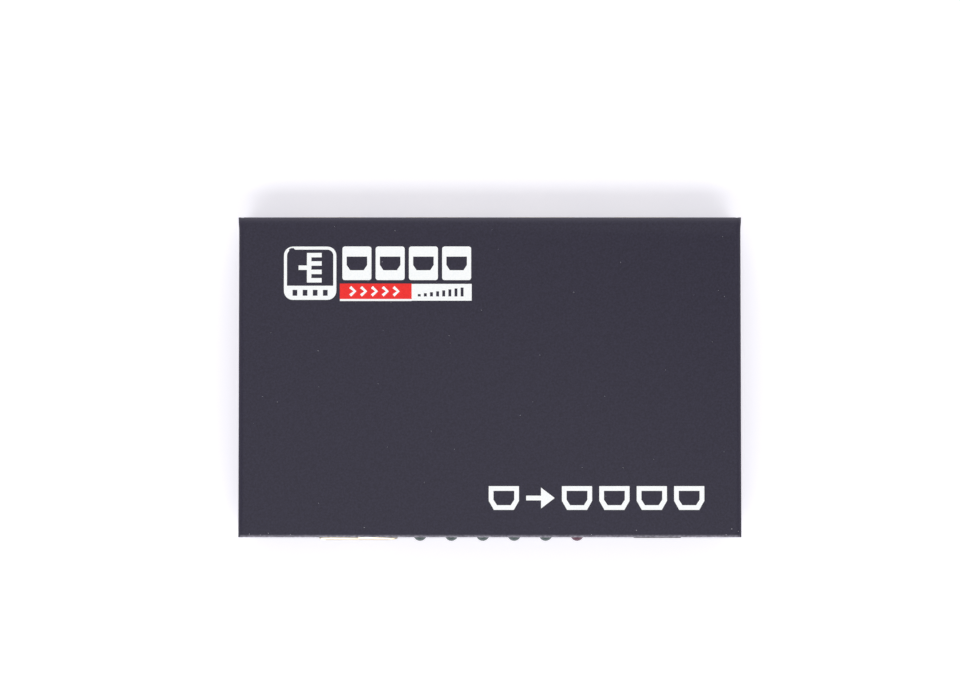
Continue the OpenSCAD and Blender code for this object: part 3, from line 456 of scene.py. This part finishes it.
def makeLens(name, deep, pale):
    # Tinted diffused epoxy cast round the die: half clear, with a faint unevenness of the dye
    material, tree, shader = startMaterial(name, {"Roughness": 0.12, "IOR": 1.54,
                                                  "Transmission Weight": 0.3})
    coords = addNode(tree, "ShaderNodeTexCoord").outputs["Object"]
    dye = addNode(tree, "ShaderNodeTexNoise", {"Vector": coords,
                                               "Scale": perMm(finish["dyePatch"])}).outputs["Fac"]
    colour = addNode(tree, "ShaderNodeMix", {0: dye, 6: linearColour(deep), 7: linearColour(pale)},
                     data_type="RGBA")
    tree.links.new(colour.outputs[2], shader.inputs["Base Color"])
    return material


solderMask = {"over": "#0E5A2E", "track": "#157A40", "trackPitch": 1.4, "relief": 0.02}  # mm


def makeSolderMask():
    # Green lacquer over copper tracks on glass laminate: the tracks show paler and slightly raised
    material, tree, shader = startMaterial("solderMaskLaminate", {"Roughness": 0.28, "Coat Weight": 0.4,
                                                                  "Coat Roughness": 0.12})
    coords = addNode(tree, "ShaderNodeTexCoord").outputs["Object"]
    tracks = addNode(tree, "ShaderNodeTexBrick", {
        "Vector": coords, "Color1": (0, 0, 0, 1), "Color2": (0, 0, 0, 1), "Mortar": (1, 1, 1, 1),
        "Scale": perMm(solderMask["trackPitch"]), "Mortar Size": 0.09, "Brick Width": 4.0,
        "Row Height": 0.5}, offset=0.37).outputs["Color"]
    colour = addNode(tree, "ShaderNodeMix", {0: tracks, 6: linearColour(solderMask["over"]),
                                             7: linearColour(solderMask["track"])}, data_type="RGBA")
    bump = addNode(tree, "ShaderNodeBump", {"Strength": 0.3, "Distance": solderMask["relief"] * mm,
                                            "Height": tracks})
    tree.links.new(colour.outputs[2], shader.inputs["Base Color"])
    tree.links.new(bump.outputs[0], shader.inputs["Normal"])
    return material


inks = {
    "white": ("#FEFFFF", "#F5F9FC"),  # full, and thin where the mesh left it
    "red": ("#F4302E", "#E82A28"),
    "mesh": 0.3,                      # mm, the printing screen's unevenness, drawn coarse enough to show
}
inkChip = {"place": (-41.93, 26.80), "size": (0.74, 0.55), "grain": 0.32,  # mm, on the badge
           "rag": 1.3, "edge": (1.55, 1.68)}


def makeInk(name, colour, thin, chipped=False):
    # Screen printing ink: opaque, nearly flat, a little thin where the mesh left it; one chip lies bare
    material, tree, shader = startMaterial(name, {"Roughness": 0.5, "Specular IOR Level": 0.2})
    coords = addNode(tree, "ShaderNodeTexCoord").outputs["Object"]
    mesh = addNode(tree, "ShaderNodeTexNoise", {"Vector": coords, "Scale": perMm(inks["mesh"]),
                                                "Detail": 2.0}).outputs["Fac"]
    film = addNode(tree, "ShaderNodeMapRange", {"Value": mesh, "From Min": 0.25, "From Max": 0.6})
    ink = addNode(tree, "ShaderNodeMix", {0: film.outputs[0], 6: linearColour(thin),
                                          7: linearColour(colour)}, data_type="RGBA").outputs[2]
    if chipped:
        x, y = (value * mm for value in inkChip["place"])
        wide, deep = (1 / (value * mm) for value in inkChip["size"])
        local = addNode(tree, "ShaderNodeMapping", {"Vector": coords, "Scale": (wide, deep, 0.0),
                                                    "Location": (-x * wide, -y * deep, 0.0)}).outputs[0]
        away = addNode(tree, "ShaderNodeVectorMath", {0: local}, operation="LENGTH").outputs["Value"]
        rag = addNode(tree, "ShaderNodeTexNoise", {"Vector": coords, "Scale": perMm(inkChip["grain"])})
        ragged = addNode(tree, "ShaderNodeMath", {0: rag.outputs["Fac"], 1: inkChip["rag"], 2: away},
                         operation="MULTIPLY_ADD").outputs[0]
        inner, outer = inkChip["edge"]
        left = addNode(tree, "ShaderNodeMapRange", {"Value": ragged, "From Min": inner,
                                                    "From Max": outer}).outputs[0]
        ink = addNode(tree, "ShaderNodeMix", {0: left, 6: linearColour(powderCoat["high"]), 7: ink},
                      data_type="RGBA").outputs[2]
    tree.links.new(ink, shader.inputs["Base Color"])
    return material


coat = makePowderCoat("powderCoatedSteel", False)
wornAndReflectingCoat = makePowderCoat("wornPowderCoatWithPaintedReflection", True)
gold = makeGoldPlate()
laminate = makeSolderMask()
# Darker tone, paler tone, grain in mm, roughness, relief in mm
socketMoulding = makeMoulding("glassFilledNylon", "#141416", "#202023", 0.4, 0.42, 0.006)
jackMoulding = makeMoulding("mouldedPbt", "#17171A", "#242428", 0.6, 0.38, 0.008)
chipMoulding = makeMoulding("chipEpoxy", "#1A1A1C", "#2A2A2D", 0.25, 0.6, 0.012)
footRubber = makeMoulding("mouldedRubber", "#141414", "#232323", 0.5, 0.8, 0.02)
ferrite = makeMoulding("pressedFerrite", "#3A3A3D", "#515155", 0.3, 0.75, 0.02)
ceramic = makeMoulding("firedCeramic", "#8E7456", "#A98D6C", 0.3, 0.5, 0.01)
lint = makeMoulding("lintAndDust", "#A9A7B2", "#CFCDD6", 0.2, 0.85, 0.01)
# The last numbers are the stretch of a metal's grain: below one makes it longer along that axis
platedSteel = makeMetal("nickelPlatedSteel", "#C3C4C8", "#DADADD", 0.5, 0.26, (1.0, 1.0, 1.0))
canAluminium = makeMetal("drawnAluminium", "#CFD0D3", "#E4E4E6", 0.3, 0.34, (1.0, 1.0, 0.1))
tin = makeMetal("tinSolder", "#C4C6C9", "#DCDEE0", 0.6, 0.28, (1.0, 1.0, 1.0))
greenLens = makeLens("greenEpoxy", "#4A5B5A", "#5E7170")
redLens = makeLens("redEpoxy", "#68394E", "#7E4E64")
whiteInk = makeInk("whiteScreenInk", *inks["white"])
chippedInk = makeInk("chippedScreenInk", *inks["white"], chipped=True)
redInk = makeInk("redScreenInk", *inks["red"])
print("materials made")


# Case

coverSizes = {                        # mm
    "arris": 0.12, "frontArris": 0.3,
    "frontBand": 0.1,                 # what lies this little under the top, at the front, is its cut edge
    "ink": 0.03,                      # the top lies this much lower, to make room for the print
    "earDepth": 0.14,                 # how far the sides are drawn in, in front of the bulge that bending
    "earLength": 2.6,                 # leaves at the rear corners, and how long that bulge is
    "loops": (0.3, 1.3, 2.5, 4.3),    # edge loops for it, in front of the rear wall's face
    "sideBand": 3.0,                  # what lies this near to a side is drawn in
}
trayArris = 0.1                       # mm
hair = 0.0001 * mm                    # a distance that counts as none


def buildCover():
    shape = shapeOfNode("top_cover")
    for back in coverSizes["loops"]:
        bmesh.ops.bisect_plane(shape, geom=shape.verts[:] + shape.edges[:] + shape.faces[:],
                               plane_co=(0, caseRear - back * mm, 0), plane_no=(0, 1, 0), dist=hair)
    for vertex in shape.verts:
        place = vertex.co
        if place.z > caseTop - hair:
            place.z -= coverSizes["ink"] * mm
        away = max(0.0, caseRear - place.y) / (coverSizes["earLength"] * mm)
        if abs(place.x) > cadBox[1].x - coverSizes["sideBand"] * mm:
            place.x -= math.copysign(coverSizes["earDepth"] * mm * min(1.0, away) ** 2, place.x)
    least = caseTop - coverSizes["frontBand"] * mm
    front = [edge for edge in shape.edges
             if all(v.co.y < caseFront + 10 * hair and v.co.z > least for v in edge.verts)]
    bmesh.ops.bevel(shape, geom=front, offset=coverSizes["frontArris"] * mm, offset_type="OFFSET",
                    segments=4, profile=0.5, affect="EDGES", clamp_overlap=True)
    mesh = breakEdges(shape, "topCover", coverSizes["arris"], 3)
    finishPiece("topCover", mesh, wornAndReflectingCoat, ["top_cover"])


def buildTray():
    mesh = breakEdges(shapeOfNode("base_tray"), "baseTray", trayArris)
    finishPiece("baseTray", mesh, coat, ["base_tray"])


buildCover()
buildTray()
print("case built")


# Screen print on the top plate, drawn in mm from the case's centre

printSizes = {
    "badge": (-38.16, 22.0, 11.13, 11.33, 1.9, 0.65),  # middle x, y, width, height, corner, line
    "badgeBand": (3.0, 0.08),                          # height, corner radius over it
    "badgeDots": (4, 2.15, 1.0, 1.25),                 # how many, from one to the next, width, height
    "branch": (4.9, 6.3, 0.95, 0.36),                  # width, height, stroke, share before it parts
    "ports": (-31.31, 20.54, 27.34, 7.15),             # left, low, width, height
    "port": (4, 0.9, 0.5),                             # how many, gap, corner
    "portMark": (0.9, 2.1, 2.9),                       # margin at the sides, below, height
    "redBand": (-31.85, 16.52, 15.25, 3.28),
    "chevrons": (5, 2.2, 2.3, 1.0, 0.75, 0.62),        # how many, start, pitch, length, margin, stroke
    "whiteBand": (-16.6, 16.16, 12.74, 3.57),
    "ticks": (8, 1.3, 1.3, 0.9, 0.62, 0.5, 0.2),       # how many, start, pitch, low, width, first, growth
    "rule": 0.43,
    "row": (-0.24, -28.19, 45.65, 5.03),
    "rowMark": (4, 6.4, 1.52, 1.0),                    # how many after the arrow, width, gap, line
    "arrow": (0.52, 0.3),                              # share of its neck, margin over and under its head
    "socket": (0.62, 0.17),                            # shares of its upright sides and of its slopes
}


def roundedBox(left, low, width, height, radius, steps=6, lowRadius=None):
    points = []
    below = radius if lowRadius is None else lowRadius
    for right, upper, start in ((1, 0, -90), (1, 1, 0), (0, 1, 90), (0, 0, 180)):
        r = radius if upper else below
        cx = left + width - r if right else left + r
        cy = low + height - r if upper else low + r
        for i in range(steps + 1):
            angle = math.radians(start + 90 * i / steps)
            points.append((cx + r * math.cos(angle), cy + r * math.sin(angle)))
    return points


def box(left, low, width, height):
    return [(left, low), (left + width, low), (left + width, low + height), (left, low + height)]


def printInk(name, outlines, ink):  # a loop inside another is a hole in it
    curve = bpy.data.curves.new(name, "CURVE")
    curve.dimensions = "2D"
    curve.fill_mode = "BOTH"
    curve.extrude = coverSizes["ink"] / 2 * mm
    for outline in outlines:
        spline = curve.splines.new("POLY")
        spline.points.add(len(outline) - 1)
        for point, (x, y) in zip(spline.points, outline):
            point.co = (x * mm, y * mm, 0, 1)
        spline.use_cyclic_u = True
    mesh = bakedMesh(bpy.data.objects.new(name + "Curve", curve), name)
    mesh.transform(Matrix.Translation((0, 0, caseTop - coverSizes["ink"] / 2 * mm)))
    shape = bmesh.new()
    shape.from_mesh(mesh)
    bmesh.ops.remove_doubles(shape, verts=shape.verts, dist=mergeDistance * mm)
    shape.to_mesh(mesh)
    shape.free()
    finishPiece(name, mesh, ink)
    for polygon in mesh.polygons:
        polygon.use_smooth = False


def socketMark(left, low, width, height):  # the outline of a socket's opening, wide side up
    side, slope = printSizes["socket"][0] * height, printSizes["socket"][1] * width
    return [(left + slope, low), (left + width - slope, low), (left + width, low + height - side),
            (left + width, low + height), (left, low + height), (left, low + height - side)]


def stroke(points, width):  # a line of even width with square ends
    left, right = [], []
    for i, (x, y) in enumerate(points):
        before = Vector(points[max(i - 1, 0)])
        after = Vector(points[min(i + 1, len(points) - 1)])
        along = (after - before).normalized()
        normal = Vector((-along.y, along.x)) * width / 2
        left.append((x + normal.x, y + normal.y))
        right.append((x - normal.x, y - normal.y))
    return left + right[::-1]


def printBadge():  # a frame with a band of dots, and in it one line that parts into four
    x, y, w, h, corner, line = printSizes["badge"]
    left, low = x - w / 2, y - h / 2
    band, tight = printSizes["badgeBand"]
    inner = roundedBox(left + line, low + band, w - 2 * line, h - band - line, corner - line,
                       lowRadius=tight)
    count, pitch, dotWidth, dotHeight = printSizes["badgeDots"]
    dots = [box(x + (i - (count - 1) / 2) * pitch - dotWidth / 2, low + (band - dotHeight) / 2,
                dotWidth, dotHeight) for i in range(count)]
    printInk("printBadge", [roundedBox(left, low, w, h, corner), inner] + dots, chippedInk)
    wide, high, thick, share = printSizes["branch"]
    mid = low + band + (h - band - line) / 2
    start, step = x - wide / 2, (high - thick) / (count - 1)
    spine = start + share * wide
    comb = [(start, mid - thick / 2), (spine, mid - thick / 2), (spine, mid - high / 2)]
    for i in range(count):
        at = mid - high / 2 + i * step
        comb += [(start + wide, at), (start + wide, at + thick)]
        if i < count - 1:
            comb += [(spine + thick, at + thick), (spine + thick, at + step)]
    comb += [(spine, mid + high / 2), (spine, mid + thick / 2), (start, mid + thick / 2)]
    printInk("printBranch", [comb], whiteInk)


def printPorts():  # a row of plates, each with a socket's outline
    left, low, w, h = printSizes["ports"]
    count, gap, corner = printSizes["port"]
    margin, below, height = printSizes["portMark"]
    pitch = (w + gap) / count
    for i in range(count):
        at = left + i * pitch
        mark = socketMark(at + margin, low + below, pitch - gap - 2 * margin, height)
        printInk(f"printPort_{i + 1}", [roundedBox(at, low, pitch - gap, h, corner, 3), mark], whiteInk)


def printBands():  # a red band of chevrons over a rule, and a white one of rising ticks
    left, low, w, h = printSizes["redBand"]
    count, start, pitch, length, margin, thick = printSizes["chevrons"]
    chevrons = []
    for i in range(count):
        at = left + start + i * pitch
        chevrons.append(stroke([(at, low + margin), (at + length, low + h / 2), (at, low + h - margin)],
                               thick))
    printInk("printRedBand", [box(left, low, w, h)] + chevrons, redInk)
    for i, outline in enumerate(chevrons):
        printInk(f"printChevron_{i + 1}", [outline], whiteInk)
    printInk("printRule", [box(left, low - printSizes["rule"], w, printSizes["rule"])], whiteInk)
    left, low, w, h = printSizes["whiteBand"]
    count, start, pitch, rise, wide, first, growth = printSizes["ticks"]
    ticks = [box(left + start + i * pitch, low + rise, wide, first + growth * i) for i in range(count)]
    printInk("printWhiteBand", [box(left, low, w, h)] + ticks, whiteInk)


def printRow():  # one socket, an arrow and four sockets
    left, low, w, h = printSizes["row"]
    count, mark, gap, line = printSizes["rowMark"]
    arrowLength = w - (count + 1) * (mark + gap)
    starts = [left] + [left + mark + 2 * gap + arrowLength + i * (mark + gap) for i in range(count)]
    for i, at in enumerate(starts):
        hole = socketMark(at + line, low + line, mark - 2 * line, h - 2 * line)
        printInk(f"printRowPort_{i + 1}", [socketMark(at, low, mark, h), hole], whiteInk)
    share, margin = printSizes["arrow"]
    at, mid, half = left + mark + gap, low + h / 2, line / 2
    neck = at + share * arrowLength
    printInk("printArrow", [[(at, mid - half), (neck, mid - half), (neck, low + margin),
                             (at + arrowLength, mid), (neck, low + h - margin), (neck, mid + half),
                             (at, mid + half)]], whiteInk)


printBadge()
printPorts()
printBands()
printRow()
print("print laid")


# Sockets, lights, jack, feet and the parts inside

softened = {  # CAD nodes that get rounded arrises: width in mm, material, slot
    "rubber_feet": (0.15, footRubber, "rubber"),
    "power_jack_body": (0.12, jackMoulding, "jack_moulding"),
    "power_jack_pin": (0.05, platedSteel, "plated_steel"),
    "case_screws": (0.06, platedSteel, "plated_steel"),
    "board_screws": (0.06, platedSteel, "plated_steel"),
    "board_standoffs": (0.06, platedSteel, "plated_steel"),
}
shellNames = ["input_socket_shell"] + [f"output_socket_shell_{i}" for i in range(1, 5)]
for nodeName in shellNames:
    softened[nodeName.replace("shell", "insulator")] = (0.04, socketMoulding, "socket_moulding")


def pieceName(nodeName):  # rubber_feet becomes rubberFeet
    words = nodeName.split("_")
    return words[0] + "".join(word.capitalize() for word in words[1:])


jackFace = {  # mm
    "setBack": 0.18,  # how much less than its solid it stands out
    "band": 0.1,      # what lies this near to the cover's front edge, or before it, belongs to it
}

for nodeName, (width, material, slotName) in softened.items():
    name = pieceName(nodeName)
    shape = shapeOfNode(nodeName)
    if nodeName == "power_jack_body":
        for vertex in shape.verts:
            if vertex.co.y < caseFront + jackFace["band"] * mm:
                vertex.co.y += jackFace["setBack"] * mm
    finishPiece(name, breakEdges(shape, name, width), material, [nodeName])


lips = {  # mm
    "arris": 0.03, "wall": 0.3,   # the wall is the shell's metal
    "long": 0.5, "rise": 1.1,     # how far the lips reach behind the mouth, and how far they flare
    "root": 0.11, "back": 0.48,   # how far their roots come forward, and their tips lean back from there
    "wider": 0.43,                # share by which the wide lip's tip spreads
}


def buildShell(nodeName):  # its lips lean back towards the panel, and the wide one spreads to the corners
    shape = shapeOfNode(nodeName)
    shell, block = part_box(nodeName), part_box(nodeName.replace("shell", "insulator"))
    outward = -1 if shell[0].y < 0 else 1
    mouth = shell[0].y if outward < 0 else shell[1].y
    middle = (shell[0].x + shell[1].x) / 2
    wall = lips["wall"] * mm
    for vertex in shape.verts:
        place = vertex.co
        if (mouth - place.y) * outward > lips["long"] * mm:
            continue
        above, below = place.z - block[1].z - wall, block[0].z - wall - place.z
        aside = abs(place.x - middle) - (block[1].x - block[0].x) / 2 - wall
        flare = min(1.0, max(0.0, above, below, aside) / (lips["rise"] * mm))
        place.y -= outward * (lips["back"] * flare - lips["root"]) * mm
        if above > 0 and abs(place.x - middle) > wall:
            place.x += (place.x - middle) * lips["wider"] * flare
    name = pieceName(nodeName)
    finishPiece(name, breakEdges(shape, name, lips["arris"]), gold, [nodeName])


for nodeName in shellNames:
    buildShell(nodeName)

plain = {
    "power_jack_spring": platedSteel, "light_leads": platedSteel, "splitter_chip_leads": platedSteel,
    "clock_crystal": platedSteel, "circuit_board": laminate, "splitter_chip": chipMoulding,
    "memory_chip": chipMoulding, "voltage_regulators": chipMoulding, "resistors": chipMoulding,
    "surge_arrays": chipMoulding, "power_coil": ferrite, "bulk_capacitors": canAluminium,
    "ceramic_capacitors": ceramic, "power_light": redLens, "input_socket_contacts": gold,
}
plain.update({f"status_light_{i}": greenLens for i in range(1, 6)})
plain.update({f"output_socket_contacts_{i}": gold for i in range(1, 5)})
for nodeName, material in plain.items():
    nodes[nodeName].data.materials.clear()
    nodes[nodeName].data.materials.append(material)


# Dust on the lid, chips in its coat, threads, solder and the frames inside the lights

dust = {"Density": 6600.0, "Seed": 11, "Small": 0.03, "Large": 0.08, "Height": 0.02}  # per m2; mm
dustField = (52.5, 33.0)  # mm, half of the flat part of the lid
roundSteps = 20           # sides of the small round things


def scatterDust():
    tree, size = newTree("dust", dust)
    points = addNode(tree, "GeometryNodeDistributePointsOnFaces",
                     {"Mesh": size["Geometry"], "Density": size["Density"],
                      "Seed": size["Seed"]}).outputs[0]
    low = addNode(tree, "ShaderNodeCombineXYZ", {0: size["Small"], 1: size["Small"], 2: size["Height"]})
    high = addNode(tree, "ShaderNodeCombineXYZ", {0: size["Large"], 1: size["Large"], 2: size["Height"]})
    scale = addNode(tree, "FunctionNodeRandomValue",
                    {0: low.outputs[0], 1: high.outputs[0], "Seed": size["Seed"]},
                    data_type="FLOAT_VECTOR").outputs[0]
    speck = addNode(tree, "GeometryNodeMeshIcoSphere", {"Radius": 1.0, "Subdivisions": 1}).outputs[0]
    closeTree(tree, points, speck, scale, lint)
    top = caseTop - coverSizes["ink"] * mm
    x, y = (half * mm for half in dustField)
    lid = bpy.data.meshes.new("dustLid")
    lid.from_pydata([(-x, -y, top), (x, -y, top), (x, y, top), (-x, y, top)], [], [(0, 1, 2, 3)])
    sizes = {key: value if key in ("Density", "Seed") else value * mm for key, value in dust.items()}
    finishPiece("lidDust", runTree("lidDust", tree, sizes, lid), lint)


chips = {"Width": 0.13, "Height": 0.02, "Seed": 3}  # mm, flakes off the coat where it is knocked
chipPlaces = [(50.0, -33.45), (52.6, -32.7), (51.2, -32.2), (31.0, -32.5), (21.5, -33.4),
              (-50.9, -33.3), (-48.6, -33.5), (-46.9, -33.1), (-26.6, -31.9), (-42.2, -33.4)]


def scatterChips():
    tree, size = newTree("chips", chips)
    least = addNode(tree, "ShaderNodeMath", {0: size["Width"], 1: 0.5}, operation="MULTIPLY").outputs[0]
    low = addNode(tree, "ShaderNodeCombineXYZ", {0: least, 1: least, 2: size["Height"]})
    high = addNode(tree, "ShaderNodeCombineXYZ", {0: size["Width"], 1: size["Width"], 2: size["Height"]})
    scale = addNode(tree, "FunctionNodeRandomValue",
                    {0: low.outputs[0], 1: high.outputs[0], "Seed": size["Seed"]},
                    data_type="FLOAT_VECTOR").outputs[0]
    flake = addNode(tree, "GeometryNodeMeshIcoSphere", {"Radius": 1.0, "Subdivisions": 1}).outputs[0]
    closeTree(tree, size["Geometry"], flake, scale, lint)
    top = caseTop - coverSizes["ink"] * mm
    seed = pointSeed("chips", [(x * mm, y * mm, top) for x, y in chipPlaces])
    sizes = {key: value if key == "Seed" else value * mm for key, value in chips.items()}
    finishPiece("coatChips", runTree("coatChips", tree, sizes, seed), lint)


thread = {"Radius": 1.47, "Pitch": 0.5, "Depth": 0.13}   # mm
threadRun = {"start": 0.2, "case": 3.4, "board": 4.0}    # mm, from the screw's tip, and the two lengths


def cutThread(name, places, turns, length):  # a helical ridge from each place, along its own turned Z
    tree, size = newTree(name, dict(thread, Length=length))
    rounds = addNode(tree, "ShaderNodeMath", {0: size["Length"], 1: size["Pitch"]}, operation="DIVIDE")
    path = addNode(tree, "GeometryNodeCurveSpiral",
                   {"Resolution": roundSteps, "Rotations": rounds.outputs[0],
                    "Start Radius": size["Radius"], "End Radius": size["Radius"],
                    "Height": size["Length"]})
    ridge = addNode(tree, "GeometryNodeCurvePrimitiveCircle", {"Resolution": 3, "Radius": size["Depth"]})
    swept = addNode(tree, "GeometryNodeCurveToMesh", {"Curve": path.outputs[0],
                                                      "Profile Curve": ridge.outputs[0], "Fill Caps": True})
    closeTree(tree, size["Geometry"], swept.outputs[0], (1, 1, 1), platedSteel)
    sizes = {key: value * mm for key, value in dict(thread, Length=length).items()}
    mesh = runTree(name, tree, sizes, pointSeed(name, places, turns))
    finishPiece(name, mesh, platedSteel)


def islandsOf(nodeName):  # the box of each separate solid in a node, in metres
    shape = shapeOfNode(nodeName)
    left, boxes = set(shape.verts), []
    while left:
        stack, island = [left.pop()], []
        while stack:
            vertex = stack.pop()
            island.append(vertex.co.copy())
            for edge in vertex.link_edges:
                other = edge.other_vert(vertex)
                if other in left:
                    left.remove(other)
                    stack.append(other)
        boxes.append((Vector([min(v[i] for v in island) for i in range(3)]),
                      Vector([max(v[i] for v in island) for i in range(3)])))
    shape.free()
    return sorted(boxes, key=lambda pair: tuple(pair[0]))


def buildThreads():
    places, turns = [], []
    for low, high in islandsOf("case_screws"):
        inward = 1 if low.x < 0 else -1
        tip = high.x if inward > 0 else low.x
        start = tip - inward * threadRun["start"] * mm
        places.append((start, (low.y + high.y) / 2, (low.z + high.z) / 2))
        turns.append((0, -inward * math.pi / 2, 0))
    cutThread("caseScrewThreads", places, turns, threadRun["case"])
    places = [((low.x + high.x) / 2, (low.y + high.y) / 2, low.z + threadRun["start"] * mm)
              for low, high in islandsOf("board_screws")]
    cutThread("boardScrewThreads", places, [(0, 0, 0)] * len(places), threadRun["board"])


joint = {"Foot": 0.85, "Neck": 0.38, "Height": 0.55}  # mm, solder round a lead under the board
lead = {"out": 0.1, "width": 1.6}  # mm, how far it reaches below the board at least, and its width at most


def pinsUnder(nodeNames):  # middles of the leads that come out under the board
    groups = []
    for nodeName in nodeNames:
        for vertex in nodes[nodeName].data.vertices:
            x, y, z = vertex.co
            if z > boardUnderside - lead["out"] * mm:
                continue
            for group in groups:
                if abs(group[0] - x) < lead["width"] * mm and abs(group[1] - y) < lead["width"] * mm:
                    group[2].append((x, y))
                    break
            else:
                groups.append((x, y, [(x, y)]))
    return [tuple((min(p[i] for p in group[2]) + max(p[i] for p in group[2])) / 2 for i in (0, 1))
            for group in groups]


def buildSolder():
    tree, size = newTree("solder", joint)
    cone = addNode(tree, "GeometryNodeMeshCone", {"Vertices": roundSteps, "Radius Top": size["Neck"],
                                                  "Radius Bottom": size["Foot"], "Depth": size["Height"]})
    closeTree(tree, size["Geometry"], cone.outputs[0], (1, 1, 1), tin)
    pins = pinsUnder(shellNames + ["power_jack_pin", "power_jack_spring", "light_leads"])
    seed = pointSeed("solder", [(x, y, boardUnderside) for x, y in pins], [(math.pi, 0, 0)] * len(pins))
    sizes = {key: value * mm for key, value in joint.items()}
    finishPiece("solderJoints", runTree("solderJoints", tree, sizes, seed), tin)
    print("solder joints:", len(pins))


lightFrame = {"Cup": 0.45, "Post": 0.34, "Apart": 0.5, "Length": 2.3}  # mm, the metal in each light
frameInset = 0.15                                                      # mm, from the light's back


def buildLightFrames():
    tree, size = newTree("lightFrames", lightFrame)
    cup = addNode(tree, "GeometryNodeMeshCylinder", {"Vertices": roundSteps, "Radius": size["Cup"],
                                                     "Depth": size["Length"]}).outputs[0]
    thickness = addNode(tree, "ShaderNodeCombineXYZ", {0: size["Post"], 1: size["Post"], 2: size["Length"]})
    post = addNode(tree, "GeometryNodeMeshCube", {"Size": thickness.outputs[0]}).outputs[0]
    away = addNode(tree, "ShaderNodeMath", {0: size["Apart"], 1: -1.0}, operation="MULTIPLY")
    left = addNode(tree, "ShaderNodeCombineXYZ", {0: away.outputs[0]})
    right = addNode(tree, "ShaderNodeCombineXYZ", {0: size["Apart"]})
    cup = addNode(tree, "GeometryNodeTransform", {"Geometry": cup, "Translation": left.outputs[0]})
    post = addNode(tree, "GeometryNodeTransform", {"Geometry": post, "Translation": right.outputs[0]})
    joined = addNode(tree, "GeometryNodeJoinGeometry")
    tree.links.new(cup.outputs[0], joined.inputs[0])
    tree.links.new(post.outputs[0], joined.inputs[0])
    closeTree(tree, size["Geometry"], joined.outputs[0], (1, 1, 1), platedSteel)
    lenses = [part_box(name) for name in [f"status_light_{i}" for i in range(1, 6)] + ["power_light"]]
    middles = [((low.x + high.x) / 2, high.y - (frameInset + lightFrame["Length"] / 2) * mm,
                (low.z + high.z) / 2) for low, high in lenses]
    seed = pointSeed("lightFrames", middles, [(math.pi / 2, 0, 0)] * len(middles))
    sizes = {key: value * mm for key, value in lightFrame.items()}
    finishPiece("lightFrames", runTree("lightFrames", tree, sizes, seed), platedSteel)


scatterDust()
scatterChips()
buildThreads()
buildSolder()
buildLightFrames()
print("small things placed")
